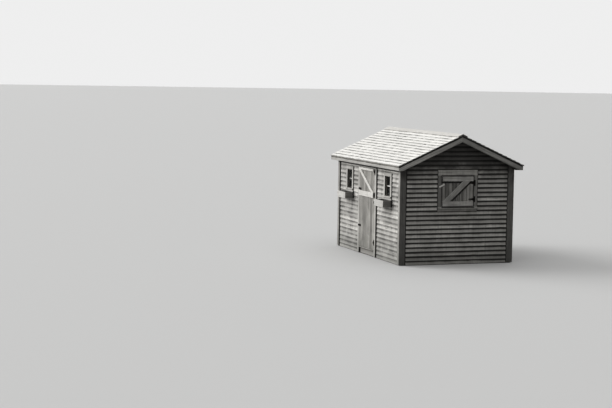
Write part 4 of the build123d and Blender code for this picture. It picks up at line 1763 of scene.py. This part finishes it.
@dataclass
class SmallWindow:
    """One window of the door wall: casing, sash, glass and planting box."""

    name: str
    seed: int
    casing_width: float = 0.076
    sill_thickness: float = 0.025
    stile: float = 0.028
    sash_edge: float = 0.0015
    box_board: float = 0.018
    box_face: float = 0.0012
    box_nail: float = 0.02

    def build(self) -> None:
        """Make the window's boards and dress its glass."""
        self.casing()
        self.sash()
        self.planting_box()
        dress(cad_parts[f"{self.name}_window_glass"], Finish.GLASS)

    def casing(self) -> None:
        """Add side boards, head, sill and apron."""
        node = f"{self.name}_window_casing"
        low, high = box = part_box(node)
        foot, head = (corner.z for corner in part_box(f"{self.name}_window_sash"))
        face = (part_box(f"{self.name}_planting_box")[1].x, high.x)
        under = foot - self.sill_thickness
        stack = BoardStack(self.seed)
        stack.box(box, Along.Z, x=face, y=(low.y, low.y + self.casing_width), z=(foot, head))
        stack.box(box, Along.Z, x=face, y=(high.y - self.casing_width, high.y), z=(foot, head))
        stack.box(box, Along.Y, x=face, z=(head, high.z))
        stack.box(box, Along.Y, z=(under, foot))
        stack.box(box, Along.Y, x=face, z=(low.z, under))
        stack.finish(f"{node}_boards", Finish.CASING, node)

    def sash(self) -> None:
        """Add stiles, rails and the middle bar; the bar keeps its paint, while the stiles and rails stay bare
        and near black as painted shade of the recess.
        """
        node, stile, edge = f"{self.name}_window_sash", self.stile, self.sash_edge
        low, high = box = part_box(node)
        stack = BoardStack(self.seed + 1)
        stack.box(box, Along.Z, bevel=edge, tone=0.0, y=(low.y, low.y + stile))
        stack.box(box, Along.Z, bevel=edge, tone=0.0, y=(high.y - stile, high.y))
        middle, rail = (low.z + high.z) / 2, (low.y + stile, high.y - stile)
        for foot, paint in ((low.z, 0.0), (middle - stile / 2, 1.0), (high.z - stile, 0.0)):
            stack.box(box, Along.Y, bevel=edge, tone=paint, y=rail, z=(foot, foot + stile))
        stack.finish(f"{node}_bars", Finish.SASH, node)

    def planting_box(self) -> None:
        """Add the five boards of the open box, with their nails."""
        node, board = f"{self.name}_planting_box", self.box_board
        low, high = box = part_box(node)
        stack, lining = BoardStack(self.seed + 2), BoardStack(self.seed + 3)
        face, inner = low.x + self.box_face, (low.x + board, high.x - board)
        stack.box(box, Along.Y, x=(face, low.x + board))
        lining.box(box, Along.Y, x=(high.x - board, high.x))
        for start in (low.y, high.y - board):
            stack.box(box, Along.X, x=inner, y=(start, start + board))
        lining.box(box, Along.Y, x=inner, y=(low.y + board, high.y - board), z=(low.z, low.z + board))
        nails = NailSet(f"{node}_nails", self.seed)
        for y in (low.y + board / 2, high.y - board / 2):
            for z in (low.z + self.box_nail, (low.z + high.z) / 2, high.z - self.box_nail):
                nails.drive(Vector((face, y, z)), Vector((-1, 0, 0)))
        stack.finish(f"{node}_boards", Finish.BOX, node)
        lining.finish(f"{node}_lining", Finish.BOX_INSIDE)
        nails.finish()


@dataclass
class GableShutter:
    """The ledged and braced shutter with its casing and ironwork."""

    board_count: int = 9
    joint: float = 0.011
    uneven: float = 0.001
    brace: Brace = Brace()
    brace_nails: Spread = (0.1, 0.3, 0.5, 0.7, 0.9)
    casing_width: float = 0.085
    casing_gap: float = 0.004
    head_casing: float = 0.123
    sill_thickness: float = 0.042
    button_edge: float = 0.003

    def build(self) -> None:
        """Make the casing, the shutter and its ironwork."""
        self.casing()
        LedgedBoards(
            "shutter", Body.BUILDING, Along.X, self.board_count, self.joint, self.uneven,
            (Finish.SHUTTER, Finish.SHUTTER_LEDGE), (130, 131, 13), (self.brace.ledge, self.brace.ledge),
            brace=self.brace.ends(), brace_width=self.brace.width, brace_nails=self.brace_nails,
        ).build()
        worn_copy("shutter_hinges", Finish.IRON, Along.X.value)
        worn_copy("shutter_turn_button", Finish.BUTTON, Along.X.value, self.button_edge)

    def casing(self) -> None:
        """Add side boards, head, sill and apron."""
        low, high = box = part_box("shutter_casing")
        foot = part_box("shutter_boards")[0].z - self.casing_gap
        head, under, width = high.z - self.head_casing, foot - self.sill_thickness, self.casing_width
        face = (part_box("front_door_side_corner_board")[0].y, high.y)
        stack = BoardStack(seed=132)
        stack.box(box, Along.Z, tone=0.0, x=(low.x, low.x + width), y=face, z=(foot, head))
        stack.box(box, Along.Z, tone=0.2, x=(high.x - width, high.x), y=face, z=(foot, head))
        stack.box(box, Along.X, tone=0.8, y=face, z=(head, high.z))
        stack.box(box, Along.X, bevel=SILL_EDGE, tone=0.9, z=(under, foot))
        stack.box(box, Along.X, tone=0.5, y=face, z=(low.z, under))
        stack.finish("shutter_casing_boards", Finish.SHUTTER_CASING, "shutter_casing")


@dataclass
class FloorAndFrame:
    """The floor boards and the bare timbers that stay as they are."""

    board_width: float = 0.146
    joint: float = 0.002

    def build(self) -> None:
        """Lay the floor and dress the walls and bearers."""
        low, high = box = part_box("floor_deck")
        count = round((high.x - low.x) / self.board_width)
        stack = BoardStack(seed=140)
        stack.planks(box, Along.X, count, self.joint, Along.Y, bevel=WORN)
        stack.finish("floor_board_set", Finish.DECK, "floor_deck")
        for name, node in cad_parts.items():
            if name.endswith(("_bearer", "_bearers")):
                dress(node, Finish.BEARER)
            elif name.endswith("_wall") or name.startswith("door_wall_"):
                dress(node, Finish.PANEL)


@dataclass(frozen=True)
class Lamp:
    """A soft lamp: its name, its power, the angle that it fills and where it shines from."""

    name: str
    strength: float
    angle: float
    place: Colour

    def hang(self) -> None:
        """Add the lamp to the scene."""
        lamp = bpy.data.lights.new(self.name, "SUN")
        lamp.energy = self.strength
        lamp.angle = math.radians(self.angle)
        holder = bpy.data.objects.new(self.name, lamp)
        holder.rotation_mode = "QUATERNION"
        holder.rotation_quaternion = Vector(self.place).to_track_quat("Z", "Y")
        bpy.context.scene.collection.objects.link(holder)


@dataclass
class Studio:
    """Floor, backdrop light, lamps and camera."""

    floor_colour: Colour = (0.53, 0.53, 0.525)
    floor_bounce: Colour = (0.2, 0.2, 0.195)
    floor_radius: float = 400.0
    floor_sides: int = 96
    floor_roughness: float = 0.9
    sky_colour: Colour = (0.86, 0.86, 0.86)
    sky_light: float = 0.13
    lamps: tuple[Lamp, ...] = (
        Lamp("soft_key", 2.85, 50.0, (-0.68, 0.58, 0.3)), Lamp("soft_top", 1.85, 110.0, (-0.15, 0.1, 1.0))
    )
    camera_place: Colour = (-13.557, -31.473, 4.122)
    camera_yaw: float = -18.79
    camera_pitch: float = -5.018
    camera_roll: float = 0.87
    lens: float = 86.7
    sensor: float = 36.0
    farthest: float = 2000.0

    def build(self) -> None:
        """Set the whole stage."""
        self.floor()
        self.sky()
        for lamp in self.lamps:
            lamp.hang()
        self.camera()

    def seen(self, kit: NodeKit) -> Socket:
        """Whether a ray shows the backdrop itself, straight, in gloss or through glass.

        Args:
            kit: the tree that asks.

        Returns:
            1 for such a ray and 0 for light that only fills the shadows.
        """
        path = kit.add("LightPath").outputs
        seen = kit.larger(path["Is Camera Ray"], path["Is Glossy Ray"])
        return kit.larger(seen, path["Is Transmission Ray"])

    def floor(self) -> None:
        """Lay a plain floor that runs out of sight."""
        bm = bmesh.new()
        bmesh.ops.create_circle(bm, cap_ends=True, segments=self.floor_sides, radius=self.floor_radius)
        mesh = bpy.data.meshes.new("studio_floor")
        bm.to_mesh(mesh)
        bm.free()
        plane = bpy.data.objects.new("studio_floor", mesh)
        bpy.context.scene.collection.objects.link(plane)
        material = bpy.data.materials.new("studio_floor")
        material.use_nodes = True
        kit = NodeKit(material.node_tree)
        shader = material.node_tree.nodes["Principled BSDF"].inputs
        kit.feed(shader["Base Color"], kit.blend(self.seen(kit), self.floor_bounce, self.floor_colour))
        kit.feed(shader["Roughness"], self.floor_roughness)
        mesh.materials.append(material)

    def sky(self) -> None:
        """Light all round, with a pale backdrop for the camera and for glass."""
        world = bpy.data.worlds.new("studio")
        bpy.context.scene.world = world
        world.use_nodes = True
        nodes, kit = world.node_tree.nodes, NodeKit(world.node_tree)
        light = nodes["Background"]
        kit.feed(light.inputs["Color"], (1.0, 1.0, 1.0))
        kit.feed(light.inputs["Strength"], self.sky_light)
        backdrop = kit.add("Background", Color=self.sky_colour)
        mix = kit.add("MixShader", self.seen(kit), light.outputs[0], backdrop.outputs[0])
        kit.feed(nodes["World Output"].inputs["Surface"], mix.outputs[0])

    def camera(self) -> None:
        """Stand the camera where the photograph was taken from."""
        data = bpy.data.cameras.new("camera")
        data.lens = self.lens
        data.sensor_width = self.sensor
        data.clip_end = self.farthest
        holder = bpy.data.objects.new("camera", data)
        yaw = Matrix.Rotation(math.radians(self.camera_yaw), 4, "Z")
        pitch = Matrix.Rotation(math.radians(90.0 + self.camera_pitch), 4, "X")
        roll = Matrix.Rotation(math.radians(self.camera_roll), 4, "Z")
        holder.matrix_world = Matrix.Translation(self.camera_place) @ yaw @ pitch @ roll
        bpy.context.scene.collection.objects.link(holder)
        bpy.context.scene.camera = holder


def main() -> None:
    """Build every sub-assembly in order."""
    logging.basicConfig(level=logging.INFO, format="%(name)s: %(message)s")
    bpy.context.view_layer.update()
    scene = bpy.context.scene
    scene.view_settings.view_transform = "Standard"
    Studio().build()
    roof = RoofShape()
    FloorAndFrame().build()
    WallCladding(roof).build()
    CornerBoards(roof).build()
    RoofCovering(roof).build()
    DoorSurround().build()
    StableDoor().build()
    SmallWindow("near", seed=120).build()
    SmallWindow("far", seed=125).build()
    GableShutter().build()


if __name__ == "__main__":
    main()
